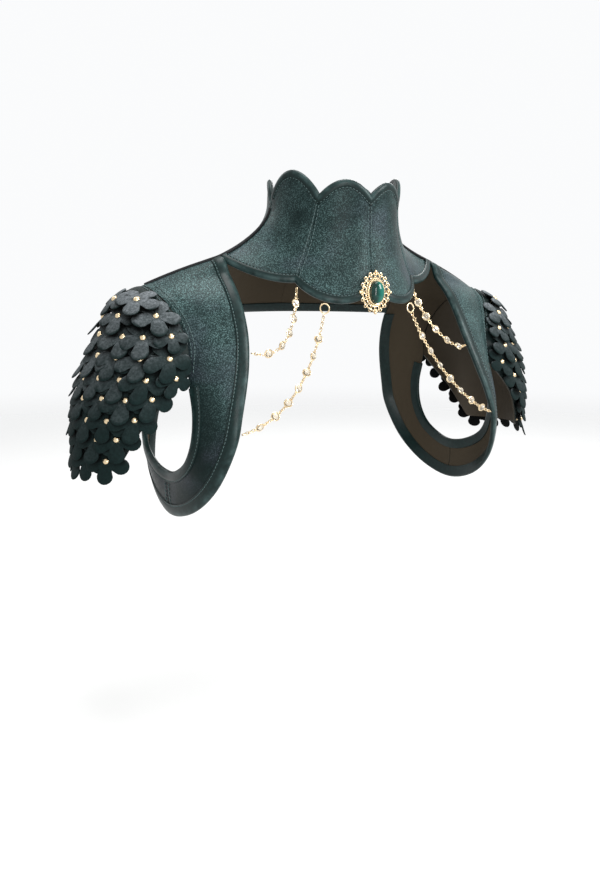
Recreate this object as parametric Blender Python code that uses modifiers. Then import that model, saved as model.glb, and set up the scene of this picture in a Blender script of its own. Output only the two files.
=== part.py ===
"""Leather pauldron: a gored collar, two shoulder sides, flower-scaled caps, bead strands, a brooch.

Metres, +Z up. The wearer faces -Y, the wearer's left is +X, and the origin is the middle of the
neck's base. Tables hold shares of the named sizes that they follow.
"""

import math

import bmesh
import bpy
from mathutils import Matrix, Vector

MM = 0.001

# Collar
NECK_RADIUS = 57 * MM
COLLAR_HEIGHT = 85 * MM
COLLAR_LEAN = 8 * MM
COLLAR_SETBACK = 5 * MM
SCALLOP_RISE = 22 * MM
LOBE_DROP = 17 * MM
GORE_BELLY = 5 * MM
COLLAR_FLARE = 55 * MM
CORNER_HEIGHT = 35 * MM
ARCH_POWER = 0.8
GORE_SHARES = (0.4, 0.75)

# Shoulder sides
SHOULDER_HALF_WIDTH = 177 * MM
SHOULDER_HEIGHT = 12 * MM
CHEST_DEPTH = 85 * MM
SIDE_DROP = 217 * MM
ARMHOLE_DROP = 86 * MM
PANEL_CROWN = 6 * MM
BACK_DEPTH = 86 * MM
BACK_EDGE_HEIGHT = -10 * MM

# Shoulder caps
CAP_RADIUS = 51 * MM
CAP_DOME = 75 * MM
CAP_LENGTH = 160 * MM
CAP_TAPER = 5 * MM
ARM_SPREAD = 8 * MM
ARM_HOLLOW = 14 * MM
HOLLOW_SHARE = 0.7
HOLLOW_POWER = 0.7
SPREAD_POWER = 1.5
CROWN_TURN = 80
CORNER_TURN = 104
CAP_CELL_TURN = 11.25
FIRST_FLOWER_ALONG = 34 * MM
FLOWER_PITCH = 16.5 * MM
FLOWER_RADIUS = 18.2 * MM
FLOWER_LEATHER = 1 * MM
FLOWER_OVERHANG_TURN = 2
FLOWER_TILT_DOWN = 0.190
FLOWER_TILT_ROUND = 0.078
RIVET_RADIUS = 1.3 * MM
PETALS = 5
PETAL_HALF_TURN = 20
NOTCH_SHARE = 0.62

# Leather, bindings and gaps
LEATHER = 2 * MM
BINDING_LEATHER = 1.1 * MM
BINDING_WIDTH = 8.5 * MM
EDGE_BINDING_WIDTH = 10 * MM
CLEARANCE = 0.4 * MM
SEAM_GAP = 0.9 * MM
RIDGE_GAP = 2 * MM
CAP_GAP = 1.2 * MM
PIPING_DIAMETER = 2.6 * MM
PLACKET_WIDTH = 22 * MM

# Strands and brooch
BEAD_DIAMETER = 7.6 * MM
BEAD_LENGTH = 6.6 * MM
BEAD_PITCH = 15 * MM
LINK_DIAMETER = 1.8 * MM
LONG_SAG = 15 * MM
SHORT_SAG = 9 * MM
BROOCH_WIDTH = 33 * MM
BROOCH_HEIGHT = 36 * MM
BROOCH_PLATE = 1.4 * MM
BROOCH_CENTRE_HEIGHT = 7 * MM
BEZEL_WIRE = 1.7 * MM
CABOCHON_WIDTH = 13.5 * MM
CABOCHON_HEIGHT = 18.5 * MM
CABOCHON_DOME = 5.5 * MM
TIP_BEAD = 3.4 * MM
TIP_SHARE = 1.04
RIM_SHARE = 0.9
PIERCINGS = 8
PIERCING_SHARE = 0.62
LOBE_SHARE = 0.05

# What the sizes above fix
HALF_LEATHER = LEATHER / 2
SLOT_HALF = HALF_LEATHER + CLEARANCE
BINDING_HALF = SLOT_HALF + BINDING_LEATHER
BINDING_BACK = CLEARANCE + BINDING_LEATHER
CAP_CENTRE_HEIGHT = SHOULDER_HEIGHT - CAP_DOME
GORE_CELLS = 4

# Each seam from the front round to the back: its turn in degrees at the top and at the hem,
# its share of COLLAR_FLARE and its hem's share of CORNER_HEIGHT.
SEAMS = (
    {"top": 0, "hem": 0, "flare": 0.22, "height": 0.28},
    {"top": 48, "hem": 54, "flare": 0.28, "height": 0.63},
    {"top": 106, "hem": 87.5, "flare": 1.00, "height": 1.00},
    {"top": 143, "hem": 136, "flare": 0.56, "height": 0.86},
    {"top": 180, "hem": 180, "flare": 0.42, "height": 0.74},
)

SHOULDER_SEAM = 2

# Each gore between two seams: its crown's share of SCALLOP_RISE, its lobe's share of LOBE_DROP
# and its share of GORE_BELLY.
GORES = (
    {"name": "front", "crown": 0.58, "lobe": 1.00, "belly": 1.0},
    {"name": "side", "crown": 1.00, "lobe": 0.40, "belly": -0.4},
    {"name": "back_side", "crown": 0.90, "lobe": 0.10, "belly": 0.0},
    {"name": "back", "crown": 0.58, "lobe": 0.10, "belly": 0.0},
)

# Inner edge of a shoulder side, from the ridge to the underarm seam: share of the way out from
# the collar's corner to the cap, share of CHEST_DEPTH forward, share of SIDE_DROP down, and how
# far the leather swells between its edges as a share of PANEL_CROWN.
INNER_EDGE = (
    {"out": 0.000, "forward": 0.070, "down": 0.000, "crown": 0.2},
    {"out": -0.015, "forward": 0.306, "down": 0.065, "crown": 0.3},
    {"out": -0.010, "forward": 0.494, "down": 0.138, "crown": 0.6},
    {"out": 0.000, "forward": 0.635, "down": 0.217, "crown": 0.6},
    {"out": 0.030, "forward": 0.753, "down": 0.309, "crown": 0.9},
    {"out": 0.117, "forward": 0.870, "down": 0.419, "crown": 1.0},
    {"out": 0.266, "forward": 0.970, "down": 0.562, "crown": 0.9},
    {"out": 0.375, "forward": 0.988, "down": 0.687, "crown": 0.7},
    {"out": 0.516, "forward": 0.810, "down": 0.843, "crown": 0.6},
    {"out": 0.625, "forward": 0.460, "down": 0.954, "crown": 0.4},
    {"out": 0.672, "forward": 0.000, "down": 1.000, "crown": 0.3},
)

# The yoke's end meets the first rows of a shoulder side. Its own rows lie at shares of its height.
YOKE_ROWS = 4
YOKE_SHARES = (0, 0.3, 0.6)
YOKE_SLOPE = 0.6

# Armhole below the cap's corner: shares of CAP_RADIUS inboard and forward of the cap's axis,
# and share of ARMHOLE_DROP down from the cap's corner.
ARMHOLE = (
    {"in": 0.375, "forward": 1.085, "down": 0.33},
    {"in": 0.355, "forward": 1.060, "down": 0.60},
    {"in": 0.330, "forward": 0.850, "down": 0.82},
    {"in": 0.335, "forward": 0.430, "down": 0.955},
    {"in": 0.365, "forward": 0.000, "down": 1.000},
)

# Cells of each ring of flowers, counted from the outermost column of the cap.
FLOWER_RINGS = (
    (0, 4),
    (2, 6),
    (0, 3, 5, 7),
    (1, 3, 5, 7),
    (0, 2, 4, 6, 8),
    (1, 3, 5, 7),
    (0, 2, 4, 6),
    (1, 3, 5),
    (0, 2, 4),
)
CAP_CELLS = 8
LEVEL_CELLS = 4.5

# The cabochon's rings from its back to near its top: shares of its width and of its dome.
CABOCHON_RINGS = (
    {"width": 1.00, "lift": 0.00},
    {"width": 1.00, "lift": 0.25},
    {"width": 0.78, "lift": 0.72},
    {"width": 0.42, "lift": 0.96},
)

# Where each strand starts on the collar's hem, as gore and share across it, and the row of the
# inner edge where it ends.
LONG_STRAND = {"gore": 0, "across": 0.625, "row": 6.6, "sag": LONG_SAG}
SHORT_STRAND = {"gore": 1, "across": 0.125, "row": 4.4, "sag": SHORT_SAG}

SIDES = (("right", -1), ("left", 1))


def material(name, colour, roughness, metallic=0.0):
    made = bpy.data.materials.new(name)
    made.use_nodes = True
    shader = made.node_tree.nodes["Principled BSDF"]
    shader.inputs["Base Color"].default_value = (*colour, 1)
    shader.inputs["Roughness"].default_value = roughness
    shader.inputs["Metallic"].default_value = metallic
    made.diffuse_color = (*colour, 1)
    return made


def collection(name):
    made = bpy.data.collections.new(name)
    bpy.context.scene.collection.children.link(made)
    return made


def add_object(name, data, skin, where):
    made = bpy.data.objects.new(name, data)
    data.materials.clear()
    data.materials.append(skin)
    where.objects.link(made)
    return made


def mesh_object(name, bm, skin, where):
    bmesh.ops.recalc_face_normals(bm, faces=bm.faces)
    mesh = bpy.data.meshes.new(name)
    bm.to_mesh(mesh)
    bm.free()
    return add_object(name, mesh, skin, where)


def mirrored(point, side):
    return Vector((point.x * side, point.y, point.z))


def mirrored_grid(grid, side):
    return [[mirrored(point, side) for point in row] for row in grid]


def grid_sheet(grid, split=True):
    """An open sheet over rows of points, its cells split from corner to corner the same way."""
    bm = bmesh.new()
    rows = [[bm.verts.new(point) for point in row] for row in grid]
    for upper, lower in zip(rows, rows[1:]):
        for a, b, c, d in zip(upper, upper[1:], lower[1:], lower):
            if split:
                bm.faces.new((a, b, c))
                bm.faces.new((a, c, d))
            else:
                bm.faces.new((a, b, c, d))
    return bm


def leather_panel(name, grid, skin, where):
    """A sheet of leather about the middle surface that a grid gives."""
    panel = mesh_object(name, grid_sheet(grid), skin, where)
    solidify = panel.modifiers.new("leather", "SOLIDIFY")
    solidify.thickness = LEATHER
    solidify.offset = 0
    solidify.use_even_offset = True
    panel.data.shade_smooth()
    return panel


def along(points, distances):
    """Points at the given distances along a polyline."""
    found = []
    for distance in distances:
        left = distance
        for a, b in zip(points, points[1:]):
            step = (b - a).length
            if left <= step or b is points[-1]:
                found.append(a.lerp(b, left / step))
                break
            left -= step
    return found


def length_of(points):
    return sum((b - a).length for a, b in zip(points, points[1:]))


def polar(radius, turn, height):
    """A point round the collar: turn in degrees from the front towards +X."""
    lean = COLLAR_SETBACK + COLLAR_LEAN * height / COLLAR_HEIGHT
    angle = math.radians(turn)
    return Vector((radius * math.sin(angle), -lean - radius * math.cos(angle), height))


def between(table, index, key, share):
    return table[index][key] * (1 - share) + table[index + 1][key] * share


def gore_profile(index, share):
    """One gore's middle surface from its top edge to its hem, at a share of its width."""
    gore = GORES[index]
    arch = math.sin(math.pi * share) ** ARCH_POWER
    top = COLLAR_HEIGHT + SCALLOP_RISE * gore["crown"] * arch
    hem = CORNER_HEIGHT * between(SEAMS, index, "height", share) - LOBE_DROP * gore["lobe"] * arch
    flare = COLLAR_FLARE * between(SEAMS, index, "flare", share) + GORE_BELLY * gore["belly"] * arch
    points = []
    for step in range(25):
        down = step / 24
        height = top + (hem - top) * down
        fall = min(1, max(0, (COLLAR_HEIGHT - height) / (COLLAR_HEIGHT - hem)))
        turn = between(SEAMS, index, "top", share) * (1 - fall) + between(SEAMS, index, "hem", share) * fall
        points.append(polar(NECK_RADIUS + flare * fall**2, turn, height))
    return points


def gore_column(index, share):
    """Six points down a gore, with the rows that its two bindings cover at either end."""
    profile = gore_profile(index, share)
    whole = length_of(profile)
    bound = BINDING_WIDTH + CLEARANCE
    inner = [bound + (whole - 2 * bound) * share for share in GORE_SHARES]
    return along(profile, (0, bound, *inner, whole - bound, whole))


def gore_grid(index):
    """Rows of a gore from top to hem, with its side columns drawn in by half a seam gap."""
    columns = [gore_column(index, step / GORE_CELLS) for step in range(GORE_CELLS + 1)]
    for edge, inner, seam in ((0, 1, index), (-1, -2, index + 1)):
        gap = RIDGE_GAP if seam == SHOULDER_SEAM else SEAM_GAP
        columns[edge] = [
            a + (b - a).normalized() * (gap / 2) for a, b in zip(columns[edge], columns[inner])
        ]
        corner, below = columns[edge][:2]
        columns[edge][0] = corner + (below - corner).normalized() * (3 * CLEARANCE)
    return [list(row) for row in zip(*columns)]


def edge_frames(edge, inner):
    """For each point of an edge, the way into the leather and the way across its thickness."""
    frames = []
    for index, (point, inside) in enumerate(zip(edge, inner)):
        before = edge[max(index - 1, 0)]
        after = edge[min(index + 1, len(edge) - 1)]
        into = (inside - point).normalized()
        across = (after - before).cross(into).normalized()
        frames.append((point, into, across))
    return frames


def folded_binding(name, frames, width, skin, where, turned_splits=()):
    """A strip folded over an edge: a U whose slot clears the leather by CLEARANCE.

    Its faces are split the way that the leather's are. turned_splits holds the stretches where
    the leather's split runs from its inside to its edge.
    """
    section = (
        (width, BINDING_HALF),
        (-BINDING_BACK, BINDING_HALF),
        (-BINDING_BACK, -BINDING_HALF),
        (width, -BINDING_HALF),
        (width, -SLOT_HALF),
        (-CLEARANCE, -SLOT_HALF),
        (-CLEARANCE, SLOT_HALF),
        (width, SLOT_HALF),
    )
    bm = bmesh.new()
    rings = [
        [bm.verts.new(point + into * depth + across * height) for depth, height in section]
        for point, into, across in frames
    ]
    for stretch, (first, second) in enumerate(zip(rings, rings[1:])):
        for index, (depth, _) in enumerate(section):
            following = (index + 1) % len(section)
            a, b, c, d = first[index], first[following], second[following], second[index]
            if (depth < section[following][0]) != (stretch in turned_splits):
                bm.faces.new((a, b, c))
                bm.faces.new((a, c, d))
            else:
                bm.faces.new((a, b, d))
                bm.faces.new((b, c, d))
    for ring in (rings[0], rings[-1]):
        bm.faces.new((ring[0], ring[1], ring[6], ring[7]))
        bm.faces.new((ring[1], ring[2], ring[5], ring[6]))
        bm.faces.new((ring[2], ring[3], ring[4], ring[5]))
    return mesh_object(name, bm, skin, where)


def drawn_in(frames, start, end):
    """The same frames with the first and last moved towards their neighbours."""
    moved = list(frames)
    for edge, inner, gap in ((0, 1, start), (-1, -2, end)):
        share = gap / (moved[inner][0] - moved[edge][0]).length
        moved[edge] = tuple(a.lerp(b, share) for a, b in zip(moved[edge], moved[inner]))
    return moved


def gore_edge(index, row, inner_row):
    """The edge frames of one gore at its top or at its hem."""
    columns = [gore_column(index, step / GORE_CELLS) for step in range(GORE_CELLS + 1)]
    return [c[row] for c in columns], [c[inner_row] for c in columns]


def half_collar_edge(first, last, row, inner_row):
    """Edge points of several gores in turn, with their shared seams named once."""
    edge, inner = gore_edge(first, row, inner_row)
    for index in range(first + 1, last + 1):
        more_edge, more_inner = gore_edge(index, row, inner_row)
        edge += more_edge[1:]
        inner += more_inner[1:]
    return edge, inner


def whole_collar_frames(last, row, inner_row):
    """Edge frames from the right side round the front to the left side."""
    edge, inner = half_collar_edge(0, last, row, inner_row)
    edge = [mirrored(point, -1) for point in reversed(edge[1:])] + edge
    inner = [mirrored(point, -1) for point in reversed(inner[1:])] + inner
    return edge_frames(edge, inner)


def build_collar(skins, where):
    for side_name, side in SIDES:
        for index, gore in enumerate(GORES):
            name = f"{side_name}_{gore['name']}_gore"
            leather_panel(name, mirrored_grid(gore_grid(index), side), skins["leather"], where)
    top = whole_collar_frames(len(GORES) - 1, 0, 1)
    top = drawn_in(top, SEAM_GAP / 2, SEAM_GAP / 2)
    right_half = range(len(GORES) * GORE_CELLS)
    folded_binding("collar_top_binding", top, BINDING_WIDTH, skins["binding"], where, right_half)
    hem = whole_collar_frames(1, -1, -2)
    hem = drawn_in(hem, RIDGE_GAP / 2, RIDGE_GAP / 2)
    left_half = range(2 * GORE_CELLS, 4 * GORE_CELLS)
    folded_binding("collar_hem_binding", hem, BINDING_WIDTH, skins["binding"], where, left_half)


def cap_outline():
    """The cap's profile as (distance along, radius, height), from its crown to its foot."""
    points = []
    for step in range(25):
        angle = math.pi / 2 * step / 24
        points.append((CAP_RADIUS * math.sin(angle), CAP_CENTRE_HEIGHT + CAP_DOME * math.cos(angle)))
    skirt = CAP_LENGTH - CAP_DOME
    for step in range(1, 13):
        down = step / 12
        points.append((CAP_RADIUS - CAP_TAPER * down**2, CAP_CENTRE_HEIGHT - skirt * down))
    outline = [(0, *points[0])]
    for (r0, z0), (r1, z1) in zip(points, points[1:]):
        outline.append((outline[-1][0] + math.hypot(r1 - r0, z1 - z0), r1, z1))
    return outline


CAP_OUTLINE = cap_outline()


def cap_station(distance):
    """Radius, height and outward slope of the cap at a distance from its crown."""
    for (s0, r0, z0), (s1, r1, z1) in zip(CAP_OUTLINE, CAP_OUTLINE[1:]):
        if distance <= s1 or s1 == CAP_OUTLINE[-1][0]:
            share = (distance - s0) / (s1 - s0)
            slope = ((z0 - z1) / (s1 - s0), (r1 - r0) / (s1 - s0))
            return r0 + (r1 - r0) * share, z0 + (z1 - z0) * share, slope
    return None


def cap_axis(height):
    """How far out the middle of the arm lies: hollow below the shoulder, then spreading."""
    # Rounding can put the crown itself a hair above the shoulder's height.
    fall = max(0, (SHOULDER_HEIGHT - height) / CAP_LENGTH)
    share = min(1, (fall / HOLLOW_SHARE) ** HOLLOW_POWER)
    hollow = math.sin(math.pi * share) ** (1 if share < 0.5 else 2)
    return SHOULDER_HALF_WIDTH + ARM_SPREAD * fall**SPREAD_POWER - ARM_HOLLOW * hollow


def seam_turn(distance):
    """How far round the arm the cap's seam lies at a distance down from its crown."""
    share = min(1, distance / cap_foot(CORNER_TURN))
    return CROWN_TURN + (CORNER_TURN - CROWN_TURN) * share


def cap_point(turn, distance, lift=0.0):
    """A point of the cap's outer face: turn in degrees from +X, negative towards the front."""
    radius, height, (out, up) = cap_station(max(distance, 0))
    angle = math.radians(turn)
    reach = radius + out * lift
    return Vector(
        (cap_axis(height) + reach * math.cos(angle), reach * math.sin(angle), height + up * lift)
    )


def cap_foot(turn):
    """How far down the cap runs at a turn: level outside, rising towards the armhole."""
    level = CAP_CELL_TURN * LEVEL_CELLS
    lowest = FIRST_FLOWER_ALONG + FLOWER_PITCH * (len(FLOWER_RINGS) - 0.5)
    return lowest - FLOWER_PITCH * max(0, abs(turn) - level) / CAP_CELL_TURN


def cap_rows():
    """Distances of the cap's rows, each ring of flowers midway between two of them."""
    rings = range(len(FLOWER_RINGS) + 1)
    return [0.0] + [FIRST_FLOWER_ALONG + FLOWER_PITCH * (ring - 0.5) for ring in rings]


def cap_turns():
    cells = range(CAP_CELLS + 1)
    half = [CAP_CELL_TURN * (cell + 0.5) for cell in cells] + [CORNER_TURN]
    return [-turn for turn in reversed(half)] + half


def armhole_edge(front):
    """Armhole edge of a shoulder side: along the cap's seam, then round under the arm."""
    facing = -1 if front else 1
    corner = cap_foot(CORNER_TURN)
    seam = [distance for distance in cap_rows() if distance < corner - FLOWER_PITCH / 2] + [corner]
    points = [cap_point(0, 0, -HALF_LEATHER) - Vector((CAP_GAP, 0, 0))]
    for distance in seam[1:]:
        turn = seam_turn(distance) + math.degrees(CAP_GAP / cap_station(distance)[0])
        points.append(cap_point(turn * facing, distance, -HALF_LEATHER))
    corner_height = points[-1].z
    for row in ARMHOLE:
        out = SHOULDER_HALF_WIDTH - CAP_RADIUS * row["in"]
        away = CAP_RADIUS * row["forward"] * facing
        points.append(Vector((out, away, corner_height - ARMHOLE_DROP * row["down"])))
    return points


def collar_corner():
    """Where the collar's side seam ends on the shoulder ridge."""
    return gore_profile(1, 1.0)[-1]


def inner_edge(front):
    """Inner edge of a shoulder side from the ridge to the underarm seam."""
    corner = collar_corner()
    start = corner + (cap_point(0, 0) - corner).normalized() * (2 * BINDING_BACK + CLEARANCE)
    points = []
    for row in INNER_EDGE:
        out = start.x + (SHOULDER_HALF_WIDTH - start.x) * row["out"]
        away = CHEST_DEPTH * row["forward"] * (-1 if front else 1)
        points.append(Vector((out, away, start.z - SIDE_DROP * row["down"])))
    points[0].y = start.y
    return points


def side_grid(front):
    """Rows of a shoulder side, from its ridge to the underarm seam."""
    inside = Vector((SHOULDER_HALF_WIDTH / 2, 0, -CHEST_DEPTH))
    inner, armhole = inner_edge(front), armhole_edge(front)
    bound = EDGE_BINDING_WIDTH + CLEARANCE
    rows = []
    for index, (a, b) in enumerate(zip(inner, armhole)):
        before = max(index - 1, 0)
        after = min(index + 1, len(inner) - 1)
        down = (inner[after] + armhole[after]) - (inner[before] + armhole[before])
        out = (b - a).cross(down).normalized()
        if index == 0:
            out = Vector((0, 0, 1))
        elif index == len(inner) - 1:
            out = Vector((1, 0, 0))
        elif out.dot((a + b) / 2 - inside) < 0:
            out = -out
        width = (b - a).length
        crown = PANEL_CROWN * INNER_EDGE[index]["crown"]
        row = []
        for share in (0, bound / width, 0.5, 1 - bound / width, 1):
            row.append(a.lerp(b, share) + out * (crown * 4 * share * (1 - share)))
        rows.append(row)
    for edge, inner, gap in ((0, 1, RIDGE_GAP), (-1, -2, SEAM_GAP)):
        rows[edge] = [
            a + (b - a).normalized() * (gap / 2) for a, b in zip(rows[edge], rows[inner])
        ]
    return rows


def side_frames():
    """Frames of the inner edge from the ridge in front, under the arm, to the yoke behind."""
    front, back = side_grid(True), side_grid(False)
    around = front[:-1] + [mid_row(front[-1], back[-1])] + back[-2 : YOKE_ROWS - 1 : -1]
    return edge_frames([row[0] for row in around], [row[1] for row in around])


def armhole_frames():
    """Frames of the armhole's edge below the cap, from the front corner to the back one."""
    front, back = side_grid(True), side_grid(False)
    first = len(front) - len(ARMHOLE) - 1
    around = front[first:-1] + [mid_row(front[-1], back[-1])] + back[-2 : first - 1 : -1]
    return edge_frames([row[-1] for row in around], [row[-2] for row in around])


def mid_row(a_row, b_row):
    return [(a + b) / 2 for a, b in zip(a_row, b_row)]


def yoke_grid():
    """The back band between the collar's hem and the arch across the back."""
    shoulder = side_grid(False)
    column = [row[0] for row in shoulder[:YOKE_ROWS]]
    edge, _ = half_collar_edge(2, 3, -1, -2)
    low = column[-1]
    middle = Vector((0, BACK_DEPTH, BACK_EDGE_HEIGHT))
    rows = [[] for _ in range(len(YOKE_SHARES) + 2)]
    last = len(edge) - 1
    for index, point in enumerate(edge):
        share = index / last
        top = point + Vector((0, math.sin(math.pi / 2 * share), -YOKE_SLOPE)).normalized() * SEAM_GAP
        across = 1 - math.sin(math.pi / 2 * share)
        foot = Vector((
            low.x * across,
            middle.y - (middle.y - low.y) * across**2,
            middle.z - (middle.z - low.z) * across**2,
        ))
        shares = (*YOKE_SHARES, 1 - (BINDING_WIDTH + CLEARANCE) / (foot - top).length, 1)
        for row, share in zip(rows, shares):
            row.append(top.lerp(foot, share))
    rise = column[-2] - column[-1]
    column.insert(-1, column[-1] + rise.normalized() * (BINDING_WIDTH + CLEARANCE))
    for row, point in zip(rows, column):
        inward = (row[1] - point).normalized()
        row[0] = point + inward * (BINDING_BACK + CLEARANCE)
    for row in rows:
        row[-1] = row[-1] + Vector((SEAM_GAP / 2, 0, 0))
    return rows


def build_sides(skins, where):
    front, back = side_grid(True), side_grid(False)
    yoke = yoke_grid()
    edge = drawn_in(side_frames(), RIDGE_GAP / 2, 0)
    armhole = drawn_in(armhole_frames(), EDGE_BINDING_WIDTH, EDGE_BINDING_WIDTH)
    arch = edge_frames(yoke[-1], yoke[-2])
    for name, side in SIDES:
        leather_panel(f"{name}_shoulder_front", mirrored_grid(front, side), skins["leather"], where)
        leather_panel(f"{name}_shoulder_back", mirrored_grid(back, side), skins["leather"], where)
        leather_panel(f"{name}_yoke", mirrored_grid(yoke, side), skins["leather"], where)
        for kind, frames, width, turned_splits in (
            ("edge", edge, EDGE_BINDING_WIDTH, range(len(INNER_EDGE) - 1, len(edge))),
            ("armhole", armhole, BINDING_WIDTH, range(len(ARMHOLE))),
            ("yoke", arch, BINDING_WIDTH, range(len(arch))),
        ):
            flipped = [tuple(mirrored(vector, side) for vector in frame) for frame in frames]
            folded_binding(
                f"{name}_{kind}_binding", flipped, width, skins["binding"], where, turned_splits
            )


def surface_up(points, reference):
    """Upward or outward directions square to a path, nearest to a reference direction."""
    ups = []
    for index in range(len(points)):
        before, after = points[max(index - 1, 0)], points[min(index + 1, len(points) - 1)]
        tangent = (after - before).normalized()
        ups.append((reference[index] - tangent * reference[index].dot(tangent)).normalized())
    return ups


def piping_path():
    """Centre line of the piping, from under the collar's top binding to the cap."""
    seam = gore_column(1, 1.0)
    seam[1] = seam[1] + (seam[2] - seam[1]).normalized() * PIPING_DIAMETER
    ridge = mid_row(side_grid(True)[0], side_grid(False)[0])
    points = seam[1:] + ridge
    outward = [Vector((1, 0, 0))] * 3 + [Vector((0.5, 0, 1))] * 2 + [Vector((0, 0, 1))] * 5
    low = HALF_LEATHER + CLEARANCE + PIPING_DIAMETER / 2
    over_binding = BINDING_HALF + CLEARANCE + PIPING_DIAMETER / 2
    lifts = [low] * 3 + [over_binding] * 4 + [low] * 3
    return [p + up * lift for p, up, lift in zip(points, surface_up(points, outward), lifts)]


def rod(name, points, radii, resolution, skin, where):
    """A round rod along a path, with its own radius at each point."""
    curve = bpy.data.curves.new(name, "CURVE")
    curve.dimensions = "3D"
    curve.bevel_depth = 1.0
    curve.bevel_resolution = resolution
    curve.use_fill_caps = True
    spline = curve.splines.new("POLY")
    spline.points.add(len(points) - 1)
    for made, point, radius in zip(spline.points, points, radii):
        made.co = (*point, 1)
        made.radius = radius
    return add_object(name, curve, skin, where)


def build_piping(skins, where):
    path = piping_path()
    for name, side in SIDES:
        points = [mirrored(point, side) for point in path]
        rod(f"{name}_piping", points, [PIPING_DIAMETER / 2] * len(points), 1, skins["black"], where)


def petal_outline():
    """Petals of three points each, as (turn in degrees, share of a petal's reach)."""
    outline = []
    for petal in range(PETALS):
        tip, notch = 360 / PETALS * petal, 360 / PETALS * (petal + 0.5)
        outline += [(tip - PETAL_HALF_TURN, 1.0), (tip + PETAL_HALF_TURN, 1.0), (notch, NOTCH_SHARE)]
    return outline


def bridge(bm, inner, outer):
    """Triangles between two rings of unlike counts, each a list of (turn, vertex)."""
    inner, outer = sorted(inner, key=lambda t: t[0]), sorted(outer, key=lambda t: t[0])
    start = min(range(len(outer)), key=lambda k: abs(outer[k][0] - inner[0][0]))
    outer = outer[start:] + [(turn + 360, vert) for turn, vert in outer[:start]]
    inner = inner + [(inner[0][0] + 360, inner[0][1])]
    outer = outer + [(outer[0][0] + 360, outer[0][1])]
    i = o = 0
    while i < len(inner) - 1 or o < len(outer) - 1:
        step_outer = o < len(outer) - 1 and (
            i == len(inner) - 1 or outer[o + 1][0] <= (inner[i][0] + inner[i + 1][0]) / 2
        )
        if step_outer:
            bm.faces.new((inner[i][1], outer[o][1], outer[o + 1][1]))
            o += 1
        else:
            bm.faces.new((inner[i][1], outer[o][1], inner[i + 1][1]))
            i += 1


def flower_reach(turn, distance):
    """How far petals reach without meeting the next flower's shank or the cap's seam."""
    radius = cap_station(distance)[0]
    apart = math.radians(2 * CAP_CELL_TURN) * radius - RIVET_RADIUS * math.sqrt(2) - CLEARANCE
    to_seam = seam_turn(distance) + FLOWER_OVERHANG_TURN - abs(turn)
    return min(FLOWER_RADIUS, apart, math.radians(to_seam) * radius)


def add_flower(bm, foot, turn, distance, spin):
    """One flower on its rivet's shank, grown out of a face of the cap."""
    reach = flower_reach(turn, distance)
    crown = FLOWER_RADIUS * math.hypot(FLOWER_TILT_DOWN, FLOWER_TILT_ROUND)
    middle = crown + FLOWER_LEATHER + CLEARANCE

    def place(down, around, lift):
        radius = cap_station(distance + down)[0]
        return cap_point(turn + math.degrees(around / radius), distance + down, lift)

    def tilted(down, around):
        return middle + FLOWER_TILT_DOWN * down + FLOWER_TILT_ROUND * around

    bmesh.ops.inset_individual(bm, faces=[foot], thickness=RIVET_RADIUS / 2)
    centre = foot.calc_center_median()
    ring = []
    for vert in foot.verts:
        down = math.copysign(RIVET_RADIUS, centre.z - vert.co.z)
        around = math.copysign(RIVET_RADIUS, math.atan2(vert.co.y, vert.co.x - cap_axis(vert.co.z))
                               - math.radians(turn))
        vert.co = place(down, around, 0)
        ring.append((vert.co.copy(), down, around))
    top = bmesh.ops.extrude_discrete_faces(bm, faces=[foot])["faces"][0]
    shank = []
    for vert in top.verts:
        _, down, around = min(ring, key=lambda known: (known[0] - vert.co).length)
        vert.co = place(down, around, tilted(down, around) - FLOWER_LEATHER)
        shank.append((math.degrees(math.atan2(around, -down)), vert))
    bmesh.ops.delete(bm, geom=[top], context="FACES_ONLY")
    outline = []
    for angle, share in petal_outline():
        angle += spin
        down = -reach * share * math.cos(math.radians(angle))
        around = reach * share * math.sin(math.radians(angle))
        outline.append((angle, bm.verts.new(place(down, around, tilted(down, around)))))
    wrapped = [((angle + 180) % 360 - 180, vert) for angle, vert in outline]
    bridge(bm, shank, wrapped)
    face = bm.faces.new([vert for _, vert in sorted(wrapped, key=lambda t: t[0])])
    heart = bmesh.ops.poke(bm, faces=[face])["verts"][0]
    heart.co = place(0, 0, middle)


def flower_sites():
    """Turn, distance along and spin of every flower of one cap."""
    sites = []
    for ring, cells in enumerate(FLOWER_RINGS):
        above = FLOWER_RINGS[ring - 1] if ring else ()
        for cell in cells:
            spin = 36 if cell in above else 0
            for turn in {CAP_CELL_TURN * cell, -CAP_CELL_TURN * cell}:
                sites.append((turn, FIRST_FLOWER_ALONG + FLOWER_PITCH * ring, spin))
    return sorted(sites)


def cap_shell():
    """The cap's leather as a closed body, with its outer face on the cap's outline."""
    grid = []
    for distance in cap_rows():
        limit = seam_turn(distance)
        turns = [max(-limit, min(limit, turn)) for turn in cap_turns()]
        grid.append([cap_point(turn, min(distance, cap_foot(turn))) for turn in turns])
    bm = grid_sheet(grid, split=False)
    bmesh.ops.remove_doubles(bm, verts=bm.verts, dist=0.01 * MM)
    bmesh.ops.dissolve_degenerate(bm, edges=bm.edges, dist=0.01 * MM)
    bmesh.ops.recalc_face_normals(bm, faces=bm.faces)
    outward = sum(face.normal.x for face in bm.faces)
    if outward < 0:
        bmesh.ops.reverse_faces(bm, faces=bm.faces)
    bmesh.ops.solidify(bm, geom=bm.faces[:], thickness=LEATHER)
    return bm


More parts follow.
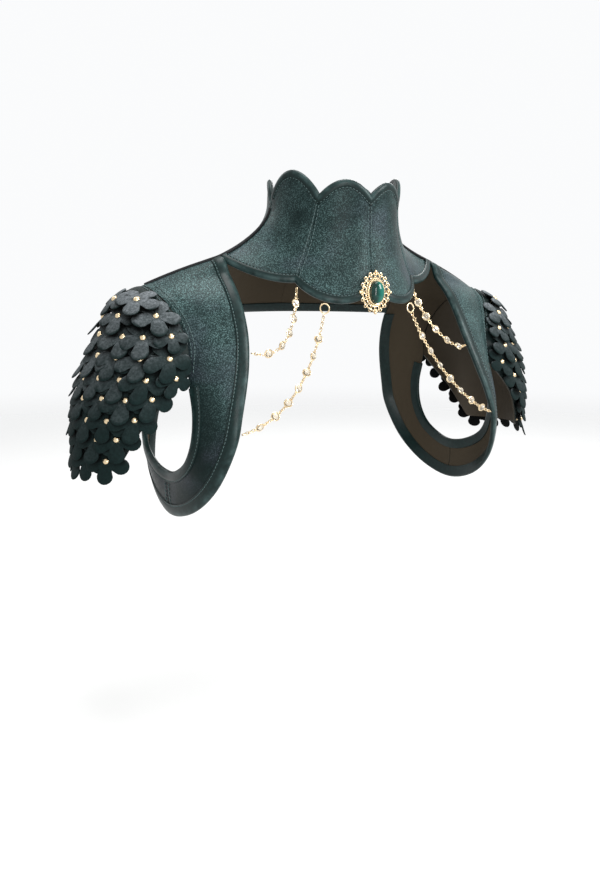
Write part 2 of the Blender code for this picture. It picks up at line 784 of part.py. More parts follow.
def build_caps(skins, where):
    for name, side in SIDES:
        bm = cap_shell()
        for turn, distance, spin in flower_sites():
            target = cap_point(turn, distance)
            foot = min(
                (face for face in bm.faces if len(face.verts) == 4),
                key=lambda face: (face.calc_center_median() - target).length,
            )
            add_flower(bm, foot, turn, distance, spin)
        bmesh.ops.scale(bm, vec=(side, 1, 1), verts=bm.verts)
        mesh_object(f"{name}_flower_cap", bm, skins["flower"], where)


def hem_anchor(strand):
    """Start of a strand, just outside the collar's hem binding."""
    cell = strand["across"] * GORE_CELLS
    whole = math.floor(cell)
    edge, inner = gore_edge(strand["gore"], -1, -2)
    frames = edge_frames(edge, inner)
    point = frames[whole][0].lerp(frames[whole + 1][0], cell - whole)
    into = frames[whole][1].lerp(frames[whole + 1][1], cell - whole).normalized()
    return point - into * (BINDING_BACK + CLEARANCE + LINK_DIAMETER / 2)


def edge_anchor(strand):
    """End of a strand, just outside the shoulder's inner edge binding."""
    grid = side_grid(True)
    whole = math.floor(strand["row"])
    share = strand["row"] - whole
    point = grid[whole][0].lerp(grid[whole + 1][0], share)
    inner = grid[whole][1].lerp(grid[whole + 1][1], share)
    into = (inner - point).normalized()
    return point - into * (BINDING_BACK + CLEARANCE + LINK_DIAMETER / 2)


def strand_path(strand):
    """A sagging line of points for one strand."""
    start, end = hem_anchor(strand), edge_anchor(strand)
    points = []
    for step in range(61):
        share = step / 60
        point = start.lerp(end, share)
        point.z -= strand["sag"] * 4 * share * (1 - share)
        points.append(point)
    return points


def strand_stations(strand):
    """Points and radii down one strand: thin links with a fat bead at each pitch."""
    path = strand_path(strand)
    whole = length_of(path)
    beads = round(whole / BEAD_PITCH) - 1
    pitch = whole / (beads + 1)
    thin, fat = LINK_DIAMETER / 2, BEAD_DIAMETER / 2
    distances, radii = [0], [thin]
    for bead in range(1, beads + 1):
        middle = pitch * bead
        distances += [middle - BEAD_LENGTH / 2, middle, middle + BEAD_LENGTH / 2]
        radii += [thin, fat, thin]
    distances.append(whole)
    radii.append(thin)
    return along(path, distances), radii


def build_strands(skins, where):
    for kind, strand in (("long", LONG_STRAND), ("short", SHORT_STRAND)):
        points, radii = strand_stations(strand)
        for name, side in SIDES:
            route = [mirrored(point, side) for point in points]
            rod(f"{name}_{kind}_strand", route, radii, 1, skins["bead"], where)


def brooch_face():
    """How far forward the collar's hem binding reaches behind the brooch."""
    faces = []
    for point, into, across in edge_frames(*gore_edge(0, -1, -2)):
        for depth in (-BINDING_BACK, BINDING_WIDTH):
            for height in (-BINDING_HALF, BINDING_HALF):
                faces.append((point + into * depth + across * height).y)
    return min(faces) - CLEARANCE


def oval(width, height, count, ripple=0.0, waves=0):
    points = []
    for step in range(count):
        angle = 2 * math.pi * step / count
        swell = 1 + ripple * math.cos(waves * angle)
        points.append((width / 2 * swell * math.cos(angle), height / 2 * swell * math.sin(angle)))
    return points


def pierced_plate():
    """The brooch's openwork plate: a lobed oval with a ring of piercings."""
    curve = bpy.data.curves.new("brooch_plate", "CURVE")
    curve.dimensions = "2D"
    curve.fill_mode = "BOTH"
    curve.extrude = BROOCH_PLATE / 2
    loops = [oval(BROOCH_WIDTH, BROOCH_HEIGHT, 2 * PIERCINGS, LOBE_SHARE, PIERCINGS)]
    rim_width, bezel_width = BROOCH_WIDTH * RIM_SHARE, CABOCHON_WIDTH + 3 * BEZEL_WIRE
    rim_height, bezel_height = BROOCH_HEIGHT * RIM_SHARE, CABOCHON_HEIGHT + 3 * BEZEL_WIRE
    span = min(rim_width - bezel_width, rim_height - bezel_height) / 2 * PIERCING_SHARE
    for step in range(PIERCINGS):
        angle = 2 * math.pi * (step + 0.5) / PIERCINGS
        centre_x = (rim_width + bezel_width) / 4 * math.cos(angle)
        centre_y = (rim_height + bezel_height) / 4 * math.sin(angle)
        loops.append([(centre_x + x, centre_y + y) for x, y in oval(span, span, 5)])
    for loop in loops:
        spline = curve.splines.new("POLY")
        spline.points.add(len(loop) - 1)
        for made, (x, y) in zip(spline.points, loop):
            made.co = (x, y, 0, 1)
        spline.use_cyclic_u = True
    return curve


def curve_mesh(name, curve):
    """A closed mesh made from a curve, with its caps welded on."""
    holder = bpy.data.objects.new(name, curve)
    bpy.context.scene.collection.objects.link(holder)
    bpy.context.view_layer.update()
    graph = bpy.context.evaluated_depsgraph_get()
    mesh = bpy.data.meshes.new_from_object(holder.evaluated_get(graph))
    bpy.data.objects.remove(holder)
    bm = bmesh.new()
    bm.from_mesh(mesh)
    bmesh.ops.remove_doubles(bm, verts=bm.verts, dist=0.01 * MM)
    bmesh.ops.recalc_face_normals(bm, faces=bm.faces)
    bm.to_mesh(mesh)
    bm.free()
    return mesh


def bezel_ring():
    """The raised wire round the cabochon."""
    curve = bpy.data.curves.new("bezel", "CURVE")
    curve.dimensions = "3D"
    curve.bevel_depth = BEZEL_WIRE / 2
    curve.bevel_resolution = 0
    spline = curve.splines.new("POLY")
    width = CABOCHON_WIDTH + 2 * CLEARANCE + BEZEL_WIRE
    height = CABOCHON_HEIGHT + 2 * CLEARANCE + BEZEL_WIRE
    loop = oval(width, height, 12)
    spline.points.add(len(loop) - 1)
    for made, (x, y) in zip(spline.points, loop):
        made.co = (x, y, BROOCH_PLATE / 2 + BEZEL_WIRE / 3, 1)
    spline.use_cyclic_u = True
    return curve


def tip_bead():
    bm = bmesh.new()
    bmesh.ops.create_uvsphere(bm, u_segments=6, v_segments=3, radius=TIP_BEAD / 2)
    mesh = bpy.data.meshes.new("tip_bead")
    bm.to_mesh(mesh)
    bm.free()
    return mesh


def cabochon():
    """A domed oval stone with a flat back."""
    bm = bmesh.new()
    rings = []
    for row in CABOCHON_RINGS:
        loop = oval(CABOCHON_WIDTH * row["width"], CABOCHON_HEIGHT * row["width"], 16)
        rings.append([bm.verts.new((x, y, CABOCHON_DOME * row["lift"])) for x, y in loop])
    for low, high in zip(rings, rings[1:]):
        for index in range(len(low)):
            following = (index + 1) % len(low)
            bm.faces.new((low[index], low[following], high[following], high[index]))
    bm.faces.new(rings[0])
    crown = bm.faces.new(rings[-1])
    heart = bmesh.ops.poke(bm, faces=[crown])["verts"][0]
    heart.co.z = CABOCHON_DOME
    return bm


def build_brooch(skins, where, cutters):
    facing = Matrix.Rotation(math.pi / 2, 4, "X")
    depth = brooch_face() - BROOCH_PLATE / 2
    stand = Matrix.Translation((0, depth, BROOCH_CENTRE_HEIGHT)) @ facing
    setting = add_object("brooch_setting", curve_mesh("plate", pierced_plate()), skins["gold"], where)
    setting.matrix_world = stand
    additions = [("bezel", curve_mesh("bezel", bezel_ring()), stand)]
    for index, (x, y) in enumerate(oval(BROOCH_WIDTH * TIP_SHARE, BROOCH_HEIGHT * TIP_SHARE, 4)):
        place = stand @ Matrix.Translation((x, y, 0))
        additions.append((f"tip_{index}", tip_bead(), place))
    for name, mesh, place in additions:
        guide = add_object(name, mesh, skins["gold"], cutters)
        guide.matrix_world = place
        guide.hide_render = True
        guide.display_type = "WIRE"
        union = setting.modifiers.new(name, "BOOLEAN")
        union.operation = "UNION"
        union.object = guide
    stone = mesh_object("brooch_cabochon", cabochon(), skins["stone"], where)
    stone.matrix_world = stand @ Matrix.Translation((0, 0, BROOCH_PLATE / 2 + CLEARANCE))


def build_placket(skins, where):
    """The plain strip over the closure, down the collar's back and the yoke."""
    seam = gore_column(len(GORES) - 1, 1.0)
    yoke = [row[-1] for row in yoke_grid()]
    points = [*seam[1:], *yoke[1:-1]]
    for point in points:
        point.x = 0
    reference = [Vector((0, 1, 0.2))] * len(points)
    lift = HALF_LEATHER + CLEARANCE + BINDING_HALF
    half = PLACKET_WIDTH / 2
    grid = [
        [point + up * lift + Vector((across, 0, 0)) for across in (-half, 0, half)]
        for point, up in zip(points, surface_up(points, reference))
    ]
    leather_panel("back_placket", grid, skins["leather"], where)


def main():
    for old in list(bpy.data.objects):
        bpy.data.objects.remove(old, do_unlink=True)
    where, cutters = collection("pauldron"), collection("cutters")
    skins = {
        "leather": material("dark_green_leather", (0.055, 0.085, 0.075), 0.55),
        "binding": material("green_binding", (0.035, 0.062, 0.054), 0.42),
        "flower": material("green_suede", (0.045, 0.062, 0.056), 0.85),
        "black": material("black_piping", (0.012, 0.012, 0.012), 0.5),
        "bead": material("champagne_glass", (0.72, 0.62, 0.45), 0.1),
        "gold": material("pale_gold", (0.78, 0.64, 0.40), 0.28, 1.0),
        "stone": material("green_stone", (0.01, 0.14, 0.07), 0.06),
    }
    build_collar(skins, where)
    build_sides(skins, where)
    build_piping(skins, where)
    build_caps(skins, where)
    build_strands(skins, where)
    build_brooch(skins, where, cutters)
    build_placket(skins, where)


main()
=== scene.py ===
import math
import random

import bmesh
import bpy
import numpy as np
from bpy.props import FloatProperty, FloatVectorProperty, IntProperty, PointerProperty
from bpy.types import Operator, Panel, PropertyGroup
from mathutils import Matrix, Vector
from mathutils.bvhtree import BVHTree


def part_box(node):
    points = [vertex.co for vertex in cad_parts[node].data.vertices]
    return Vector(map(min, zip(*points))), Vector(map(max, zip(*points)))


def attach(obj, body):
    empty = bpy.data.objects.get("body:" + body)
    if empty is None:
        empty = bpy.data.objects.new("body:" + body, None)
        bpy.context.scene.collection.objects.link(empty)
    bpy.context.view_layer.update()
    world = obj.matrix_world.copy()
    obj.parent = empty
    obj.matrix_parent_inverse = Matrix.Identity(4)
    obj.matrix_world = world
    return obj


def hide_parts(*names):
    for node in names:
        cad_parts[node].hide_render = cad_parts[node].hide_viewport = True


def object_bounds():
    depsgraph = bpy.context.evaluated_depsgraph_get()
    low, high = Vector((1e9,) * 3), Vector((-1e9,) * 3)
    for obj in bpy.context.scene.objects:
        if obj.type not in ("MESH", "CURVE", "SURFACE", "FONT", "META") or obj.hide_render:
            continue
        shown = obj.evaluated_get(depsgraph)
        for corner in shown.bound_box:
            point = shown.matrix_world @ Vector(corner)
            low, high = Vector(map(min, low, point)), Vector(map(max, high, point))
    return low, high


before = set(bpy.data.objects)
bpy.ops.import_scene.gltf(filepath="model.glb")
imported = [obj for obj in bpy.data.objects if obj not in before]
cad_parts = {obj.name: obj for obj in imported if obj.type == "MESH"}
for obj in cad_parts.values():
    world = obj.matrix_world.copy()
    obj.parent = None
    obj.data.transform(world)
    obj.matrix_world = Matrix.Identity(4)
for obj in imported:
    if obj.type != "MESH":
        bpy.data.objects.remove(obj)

bl_info = {
    "name": "Leather Pauldron",
    "version": (1, 0, 0),
    "blender": (4, 5, 0),
    "location": "3D View > Sidebar > Pauldron",
    "description": "Dresses the packed pauldron with leather, flowers, bead strands and a brooch",
    "category": "Object",
}

CAD_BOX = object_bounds()
MM = 0.001

# The leather's middle surfaces, as the solids have them.
NECK_RADIUS = 57 * MM
COLLAR_HEIGHT = 85 * MM
COLLAR_LEAN = 8 * MM
COLLAR_SETBACK = 5 * MM
SCALLOP_RISE = 22 * MM
LOBE_DROP = 17 * MM
GORE_BELLY = 5 * MM
COLLAR_FLARE = 55 * MM
CORNER_HEIGHT = 35 * MM
ARCH_POWER = 0.8
SHOULDER_HALF_WIDTH = 177 * MM
SHOULDER_HEIGHT = 12 * MM
CHEST_DEPTH = 85 * MM
SIDE_DROP = 217 * MM
ARMHOLE_DROP = 86 * MM
PANEL_CROWN = 6 * MM
BACK_DEPTH = 86 * MM
BACK_EDGE_HEIGHT = -10 * MM
CAP_RADIUS = 51 * MM
CAP_DOME = 75 * MM
CAP_LENGTH = 160 * MM
CAP_TAPER = 5 * MM
ARM_SPREAD = 8 * MM
ARM_HOLLOW = 14 * MM
HOLLOW_SHARE = 0.7
HOLLOW_POWER = 0.7
SPREAD_POWER = 1.5
CROWN_TURN = 80
CORNER_TURN = 104
CAP_CELL_TURN = 11.25
LEVEL_CELLS = 4.5
FIRST_FLOWER_ALONG = 34 * MM
FLOWER_PITCH = 16.5 * MM
FLOWER_TILT_ROUND = 0.078
FLOWER_LIFT = 5.1 * MM
CAP_GAP = 1.2 * MM
YOKE_TUCK = 2.4 * MM
INNER_START = 0.3 * MM
BINDING_WIDTH = 8.5 * MM
COLLAR_BINDING_WIDTH = 6 * MM
EDGE_BINDING_WIDTH = 10 * MM
BROOCH_CENTRE_HEIGHT = 7 * MM
PLACKET_HALF = 11 * MM
PLACKET_LIFT = 3.9 * MM
BEAD_PITCH = 15 * MM
CAP_CENTRE_HEIGHT = SHOULDER_HEIGHT - CAP_DOME

# What the scene adds to them.
PAD_RISE = 7 * MM
VALLEY_WIDTH = 1.3 * MM
GORE_STITCH_INSET = 2.0 * MM
STRIP_STITCH_INSET = 2.2 * MM
SHELL_STITCH_INSET = 2.4 * MM
CAP_SEAM_STITCHES = (2.4 * MM, 5.4 * MM)
CAP_SEAM_GROOVE = 7 * MM
STRAND_SETBACK = 2.8 * MM
LINK_PITCH = 2.45 * MM
BEAD_RIM_WIRE = 0.00055
STRAND_RING_RADIUS = 4.1 * MM
STRAND_RING_WIRE = 0.00062
FLOOR_DROP = 0.16

# The photograph's camera: degrees, metres, and its focal length in pixels.
CAMERA_YAW = -31.0
CAMERA_PITCH = 9.8
CAMERA_DISTANCE = 0.80
CAMERA_SIDEWAYS = -0.0226
CAMERA_HEIGHT = -0.1315
FOCAL_PIXELS = 839
PHOTO_HEIGHT = 880
SENSOR = 36

# Seams round half the collar: degrees from the front at the top edge and at the hem, and
# shares of the collar's flare and of its corner's height.
SEAMS = (
    {"top": 0, "hem": 0, "flare": 0.22, "height": 0.28},
    {"top": 44.5, "hem": 54, "flare": 0.33, "height": 0.47},
    {"top": 101, "hem": 87.5, "flare": 1.00, "height": 1.00},
    {"top": 143, "hem": 136, "flare": 0.56, "height": 0.86},
    {"top": 180, "hem": 180, "flare": 0.42, "height": 0.74},
)
GORES = (
    {"name": "front", "crown": 0.58, "lobe": 0.84, "belly": 1.0},
    {"name": "side", "crown": 1.00, "lobe": 0.34, "belly": -0.4},
    {"name": "back_side", "crown": 0.90, "lobe": 0.10, "belly": 0.0},
    {"name": "back", "crown": 0.58, "lobe": 0.10, "belly": 0.0},
)
# A side's inner edge, from the ridge down to the middle of the underarm.
INNER_EDGE = (
    {"out": 0.000, "forward": 0.070, "down": 0.000, "crown": 0.2},
    {"out": -0.015, "forward": 0.306, "down": 0.065, "crown": 0.3},
    {"out": -0.010, "forward": 0.494, "down": 0.138, "crown": 0.6},
    {"out": 0.000, "forward": 0.635, "down": 0.217, "crown": 0.6},
    {"out": 0.030, "forward": 0.753, "down": 0.309, "crown": 0.9},
    {"out": 0.117, "forward": 0.870, "down": 0.419, "crown": 1.0},
    {"out": 0.266, "forward": 0.970, "down": 0.562, "crown": 0.9},
    {"out": 0.375, "forward": 0.988, "down": 0.687, "crown": 0.7},
    {"out": 0.516, "forward": 0.810, "down": 0.843, "crown": 0.6},
    {"out": 0.625, "forward": 0.460, "down": 0.954, "crown": 0.4},
    {"out": 0.672, "forward": 0.000, "down": 1.000, "crown": 0.3},
)
ARMHOLE = (
    {"in": 0.375, "forward": 1.085, "down": 0.33},
    {"in": 0.355, "forward": 1.060, "down": 0.60},
    {"in": 0.330, "forward": 0.850, "down": 0.82},
    {"in": 0.335, "forward": 0.430, "down": 0.955},
    {"in": 0.365, "forward": 0.000, "down": 1.000},
)
# The flowers of each ring, as cells from the cap's middle to either side.
FLOWER_RINGS = (
    (0, 4),
    (2, 6),
    (0, 3, 5, 7),
    (1, 3, 5, 7),
    (0, 2, 4, 6, 8),
    (1, 3, 5, 7),
    (0, 2, 4, 6),
    (1, 3, 5),
    (0, 2, 4),
)
FLOWER_STEP = 15.6 * MM
# A petal's section from its middle over its rim: share of its reach, share of half its
# thickness, and how worn it is there.
PETAL_BANDS = (
    (0.16, 1, 0), (0.4, 1, 0), (0.65, 1, 0), (0.85, 1, 0), (0.965, 1, 0.2), (1.0, 0.45, 1),
    (1.0, -0.45, 1), (0.965, -1, 0.3), (0.65, -1, 0), (0.16, -1, 0),
)
# Degrees off a petal's middle at which its outline is drawn.
PETAL_RAYS = (
    -36, -34.5, -32.5, -30, -26.5, -21.5, -15, -7.5, 0, 7.5, 15, 21.5, 26.5, 30, 32.5, 34.5,
)
SIDE_ROWS = len(INNER_EDGE) - 1
YOKE_ROW = 3
CAP_SEAM_ROW = 5
STRANDS = (
    {"name": "long", "gore": 0, "across": 0.625, "row": 6.6, "sag": 26 * MM, "bulge": 10 * MM,
     "ring": True},
    {"name": "short", "gore": 0, "across": 0.97, "row": 4.4, "sag": 22 * MM, "bulge": 12 * MM,
     "ring": False},
)
SIDES = (("right", -1), ("left", 1))

# Across a folded binding from its outer rim round the leather's edge to its inner rim:
# share of its width, millimetres past the edge and height over the middle of the leather.
BINDING_PROFILE = (
    (1.00, 0.0, 0.9),
    (0.99, 0.0, 1.6),
    (0.95, 0.0, 1.95),
    (0.90, 0.0, 1.85),
    (0.86, 0.0, 1.55),
    (0.82, 0.0, 1.85),
    (0.72, 0.0, 2.25),
    (0.55, 0.0, 2.5),
    (0.35, 0.0, 2.6),
    (0.15, 0.0, 2.5),
    (0.00, 0.3, 2.0),
    (0.00, 1.1, 1.2),
    (0.00, 1.5, 0.0),
    (0.00, 1.1, -1.2),
    (0.00, 0.3, -2.0),
    (0.20, 0.0, -2.2),
    (0.60, 0.0, -2.2),
    (0.95, 0.0, -1.9),
    (1.00, 0.0, -0.9),
)
STITCH_DEPTH = 0.86
STITCH_RISE = 1.65 * MM

# Name, place in metres, width, height and watts.
LAMPS = (
    ("key_softbox", (1.0, -1.15, 0.75), 0.6, 0.8, 24),
    ("top_softbox", (0.05, 0.0, 1.35), 0.9, 0.7, 14),
    ("front_strip", (-0.36, -1.27, 0.1), 0.14, 1.1, 9),
    ("rim_softbox", (-0.5, 1.2, 0.9), 0.6, 0.6, 3),
    ("back_softbox", (0.9, 1.0, 0.8), 0.6, 0.6, 7),
)


def length(name, description, default):
    return FloatProperty(name=name, description=description, default=default, unit="LENGTH")


def colour(name, description, default):
    return FloatVectorProperty(
        name=name, description=description, default=default, subtype="COLOR")


class LeatherSizes(PropertyGroup):
    """Thicknesses and stitches of the leather work."""

    thickness: length("Leather", "Thickness of the panels", 0.002)
    seam_valley: length("Seam valley", "How far a sewn seam sinks", 0.0007)
    padding: length("Padding", "How far a gore swells between seams", 0.0009)
    stitch_pitch: length("Stitch pitch", "Distance from stitch to stitch", 0.0031)
    stitch_length: length("Stitch length", "Length of thread that shows", 0.0024)
    stitch_radius: length("Thread radius", "Radius of the thread", 0.00032)
    piping_radius: length("Piping radius", "Radius of the black piping", 0.0014)


class FlowerSizes(PropertyGroup):
    """Sizes of the leather flowers and their studs."""

    reach: length("Petal reach", "From a flower's middle to its tips", 0.0177)
    lobe_radius: length("Petal lobe", "Radius of a petal's round end", 0.0059)
    notch_depth: FloatProperty(
        name="Notch depth", description="How deeply the notches cut in past the lobes", default=0.25)
    thickness: length("Flower leather", "Thickness of a flower", 0.0013)
    curl: length("Curl", "How far petal tips lift or droop", 0.0020)
    tilt: FloatProperty(
        name="Tilt", description="How steeply a flower leans out over the next ring", default=0.24)
    stud_radius: length("Stud radius", "Radius of a domed stud", 0.00275)
    seed: IntProperty(name="Seed", description="Seed of the petals' small differences", default=7)


class TrimSizes(PropertyGroup):
    """Sizes of the strands and the brooch."""

    bead_radius: length("Bead radius", "Radius of a glass bead", 0.0030)
    link_wire: length("Link wire", "Radius of the chain's wire", 0.00036)
    filigree_wire: length("Filigree wire", "Radius of the brooch's wires", 0.00055)
    stone_dome: length("Stone dome", "Height of the cabochon", 0.0055)


class PauldronColours(PropertyGroup):
    """Colours of the finishes."""

    leather_dark: colour("Leather shade", "Deep colour of the leather", (0.0023, 0.0080, 0.0078))
    # Also the colour that the leather's painted light blends towards.
    leather_light: colour("Leather bloom", "Pearly colour of its mottling", (0.108, 0.186, 0.184))
    binding: colour("Binding", "Colour of the bindings", (0.0036, 0.0110, 0.0105))
    suede: colour("Flower suede", "Colour of the flowers", (0.0060, 0.0142, 0.0138))
    lining: colour("Lining", "Flesh side of the leather", (0.040, 0.031, 0.020))
    gold: colour("Gold", "Colour of the metal", (0.84, 0.67, 0.43))
    glass: colour("Beads", "Colour of the glass beads", (0.93, 0.83, 0.67))
    stone: colour("Stone", "Colour of the cabochon", (0.0, 0.085, 0.062))
    stage: colour("Stage", "Colour of floor and backdrop", (0.62, 0.62, 0.615))


class Term:
    """A shader socket that Python's operators join into Math nodes."""

    def __init__(self, shader, socket):
        self.shader = shader
        self.socket = socket

    def joined(self, operation, first, second):
        node = self.shader.node("ShaderNodeMath", {"operation": operation}, {0: first, 1: second})
        return Term(self.shader, node.outputs[0])

    def __add__(self, other):
        return self.joined("ADD", self, other)

    def __radd__(self, other):
        return self.joined("ADD", other, self)

    def __sub__(self, other):
        return self.joined("SUBTRACT", self, other)

    def __rsub__(self, other):
        return self.joined("SUBTRACT", other, self)

    def __mul__(self, other):
        return self.joined("MULTIPLY", self, other)

    def __rmul__(self, other):
        return self.joined("MULTIPLY", other, self)


class Shader:
    """One material's node tree and the calls that grow it."""

    def __init__(self, name):
        self.material = bpy.data.materials.new(name)
        self.material.use_nodes = True
        self.tree = self.material.node_tree
        self.surface = self.tree.nodes["Principled BSDF"]

    def node(self, kind, settings=None, sockets=None):
        made = self.tree.nodes.new(kind)
        for key, value in (settings or {}).items():
            setattr(made, key, value)
        for key, value in (sockets or {}).items():
            self.feed(made.inputs[key], value)
        return made

    def feed(self, socket, value):
        if isinstance(value, Term):
            self.tree.links.new(value.socket, socket)
        elif isinstance(value, bpy.types.NodeSocket):
            self.tree.links.new(value, socket)
        elif socket.type == "RGBA":
            socket.default_value = (*value[:3], 1)
        else:
            socket.default_value = value

    def set(self, **sockets):
        """Feeds the surface's sockets, named with _ for a space."""
        for key, value in sockets.items():
            self.feed(self.surface.inputs[key.replace("_", " ")], value)

    def place(self):
        return self.node("ShaderNodeTexCoord").outputs["Object"]

    def axis(self, name, source=None):
        """One coordinate of a vector socket, or of the place on the object."""
        source = self.place() if source is None else source
        return Term(self, self.node("ShaderNodeSeparateXYZ", None, {0: source}).outputs[name])

    def noise(self, scale, detail=3.0, roughness=0.55):
        sockets = {"Vector": self.place(), "Scale": scale, "Detail": detail, "Roughness": roughness}
        return Term(self, self.node("ShaderNodeTexNoise", None, sockets).outputs[0])

    def cells(self, scale):
        """Distance to the edges of small cells, as in leather's grain."""
        sockets = {"Vector": self.place(), "Scale": scale}
        made = self.node("ShaderNodeTexVoronoi", {"feature": "DISTANCE_TO_EDGE"}, sockets)
        return Term(self, made.outputs["Distance"])

    def spread(self, value, low, high):
        """A value's range from low to high, stretched to 0 to 1."""
        sockets = {"Value": value, "From Min": low, "From Max": high}
        made = self.node("ShaderNodeMapRange", {"interpolation_type": "SMOOTHSTEP"}, sockets)
        return Term(self, made.outputs[0])

    def mark(self, name):
        """A value painted on the piece's points."""
        made = self.node("ShaderNodeAttribute", {"attribute_name": name})
        return Term(self, made.outputs["Fac"])

    def blend(self, share, first, second):
        sockets = {0: share, 6: first, 7: second}
        return self.node("ShaderNodeMix", {"data_type": "RGBA"}, sockets).outputs[2]

    def bump(self, height, distance, strength=1.0):
        sockets = {"Height": height, "Distance": distance, "Strength": strength}
        self.set(Normal=self.node("ShaderNodeBump", None, sockets).outputs[0])

    def facing_up(self):
        """How far a surface turns towards the sky, from 0 to 1."""
        normal = self.node("ShaderNodeNewGeometry").outputs["Normal"]
        return self.spread(self.axis("Z", normal), -0.1, 0.95)


def shade(colour, share):
    return tuple(channel * share for channel in colour)


def leather_finish(colours):
    """Dark green leather with a pearly, speckled mottling and a fine grain, with painted light on its
    forward and upward faces, painted shade lower down and a painted cool sheen in patches.
    """
    shader = Shader("green_leather")
    clouds = shader.spread(shader.noise(30, 5, 0.62), 0.36, 0.68)
    speckle = shader.spread(shader.noise(1150, 2, 0.6), 0.49, 0.64)
    flecks = shader.spread(shader.noise(460, 4, 0.8), 0.47, 0.68)
    high = shader.spread(shader.axis("Z"), -0.165, -0.02)
    front = shader.spread(-1 * shader.axis("Y"), 0.045, 0.085) * high
    # Painted light: the forward faces of the collar and all upward faces are lightened, on top of the
    # random mottling.
    bloom_and_painted_light = 0.01 + clouds * 0.20 + front * 0.16 + shader.facing_up() * 0.30
    # Painted shade: the mottling and the painted light dim towards the bottom, where high falls to 0.
    bloom_and_painted_light = bloom_and_painted_light * (0.20 + high * 0.80) * (0.20 + speckle * 1.9 + flecks * 0.4)
    skin = shader.blend(bloom_and_painted_light, colours.leather_dark, colours.leather_light)
    # Painted cool sheen: bluish patches standing in for light reflected on the leather.
    painted_cool_sheen = shader.spread(shader.noise(23, 2, 0.5), 0.50, 0.70) * (0.10 + speckle * 0.35)
    skin = shader.blend(painted_cool_sheen, skin, (0.075, 0.080, 0.110))
    flesh = shader.mark("flesh")
    shader.set(
        Base_Color=shader.blend(flesh, skin, colours.lining),
        Roughness=0.34 + flesh * 0.4 + flecks * 0.16,
        Specular_IOR_Level=0.09,
    )
    grain = shader.cells(1100) * 0.8 + shader.noise(1900, 2) * 0.4
    shader.bump(grain + shader.noise(140, 2) * 0.6, 0.00024, 0.6)
    return shader.material


def binding_finish(colours):
    """The same leather polished smooth and dark, paler along its crest: partly worn by rubbing and
    partly a painted highlight.
    """
    shader = Shader("green_binding")
    # Paler crest: partly worn by rubbing, partly a painted highlight.
    rubbed_and_highlit = shader.mark("wear_and_highlight") * shader.spread(shader.noise(90, 4, 0.6), 0.30, 0.75)
    patches = shader.spread(shader.noise(300, 3), 0.4, 0.7) * 0.5
    base = shader.blend(patches, colours.binding, shade(colours.binding, 2.0))
    shader.set(
        Base_Color=shader.blend(rubbed_and_highlit * 0.45, base, shade(colours.leather_light, 0.75)),
        Roughness=0.27 + shader.noise(260, 3) * 0.14,
        Specular_IOR_Level=0.16,
    )
    grain = shader.cells(1500) * 0.5 + shader.noise(170, 2)
    shader.bump(grain, 0.00016, 0.5)
    return shader.material


def suede_finish(colours):
    """Matte, slightly dusty suede: paler where it faces up, from dusting and from painted light
    above; darker at its cut rims; painted nearly black as shade where the flowers above hide it.
    """
    shader = Shader("flower_suede")
    nap = shader.spread(shader.noise(420, 4, 0.7), 0.35, 0.7)
    up = shader.facing_up()
    # Painted light: upward faces turn pale grey, partly dusting and partly standing in for light from
    # above.
    dust_and_top_light = up * up * up * (0.30 + nap * 0.6)
    base = shader.blend(nap * 0.55, shade(colours.suede, 0.7), shade(colours.suede, 1.35))
    base = shader.blend(dust_and_top_light * 0.9, base, (0.200, 0.217, 0.232))
    base = shader.blend(shader.mark("wear_and_highlight") * 0.35, base, shade(colours.suede, 0.45))
    shader.set(
        # Painted shade: nearly black where the flowers above hide the petals.
        Base_Color=shader.blend(shader.mark("hollow"), base, shade(colours.suede, 0.05)),
        Roughness=0.74 + nap * 0.16,
        Specular_IOR_Level=0.06,
        Sheen_Weight=0.02,
        Sheen_Roughness=0.5,
    )
    shader.bump(shader.noise(1700, 3, 0.7) + shader.noise(240, 2) * 0.8, 0.00025, 0.6)
    return shader.material


def ground_finish(colours):
    """The caps' leather under the flowers, its colour painted nearly black as their shadow."""
    shader = Shader("cap_ground")
    # Painted shadow: the ground's colour is darkened to nearly black under the flowers.
    dark, light = shade(colours.binding, 0.35), shade(colours.binding, 1.2)
    base = shader.blend(shader.noise(200, 3), dark, light)
    shader.set(
        Base_Color=shader.blend(shader.mark("flesh"), base, colours.lining),
        Roughness=0.5 + shader.noise(500, 2) * 0.2,
        Specular_IOR_Level=0.2,
    )
    shader.bump(shader.cells(1300), 0.0002, 0.5)
    return shader.material


def piping_finish(_colours):
    """Black, slightly shiny cloth."""
    shader = Shader("black_piping")
    cloth = shader.noise(900, 3, 0.6)
    shader.set(
        Base_Color=shader.blend(cloth, (0.003, 0.003, 0.0035), (0.016, 0.017, 0.018)),
        Roughness=0.42 + cloth * 0.2,
        Specular_IOR_Level=0.12,
    )
    shader.bump(shader.noise(1500, 2), 0.0002, 0.5)
    return shader.material


def thread_finish(colours):
    """Thread a little darker than the leather's pale mottling colour."""
    shader = Shader("green_thread")
    fibre = shader.noise(3000, 2)
    dark, light = shade(colours.leather_light, 0.3), shade(colours.leather_light, 0.8)
    shader.set(
        Base_Color=shader.blend(fibre, dark, light),
        Roughness=0.5 + fibre * 0.2,
    )
    shader.bump(fibre, 0.0001, 0.6)
    return shader.material


def gold_finish(name, colour, polish):
    """Pale gold, a little uneven in its polish."""
    shader = Shader(name)
    cloud = shader.noise(400, 3, 0.6)
    shader.set(
        Base_Color=shader.blend(cloud * 0.6, colour, shade(colour, 0.72)),
        Roughness=polish + cloud * 0.16,
        Metallic=1.0,
    )
    shader.bump(shader.noise(1600, 2), 0.00008, 0.5)
    return shader.material


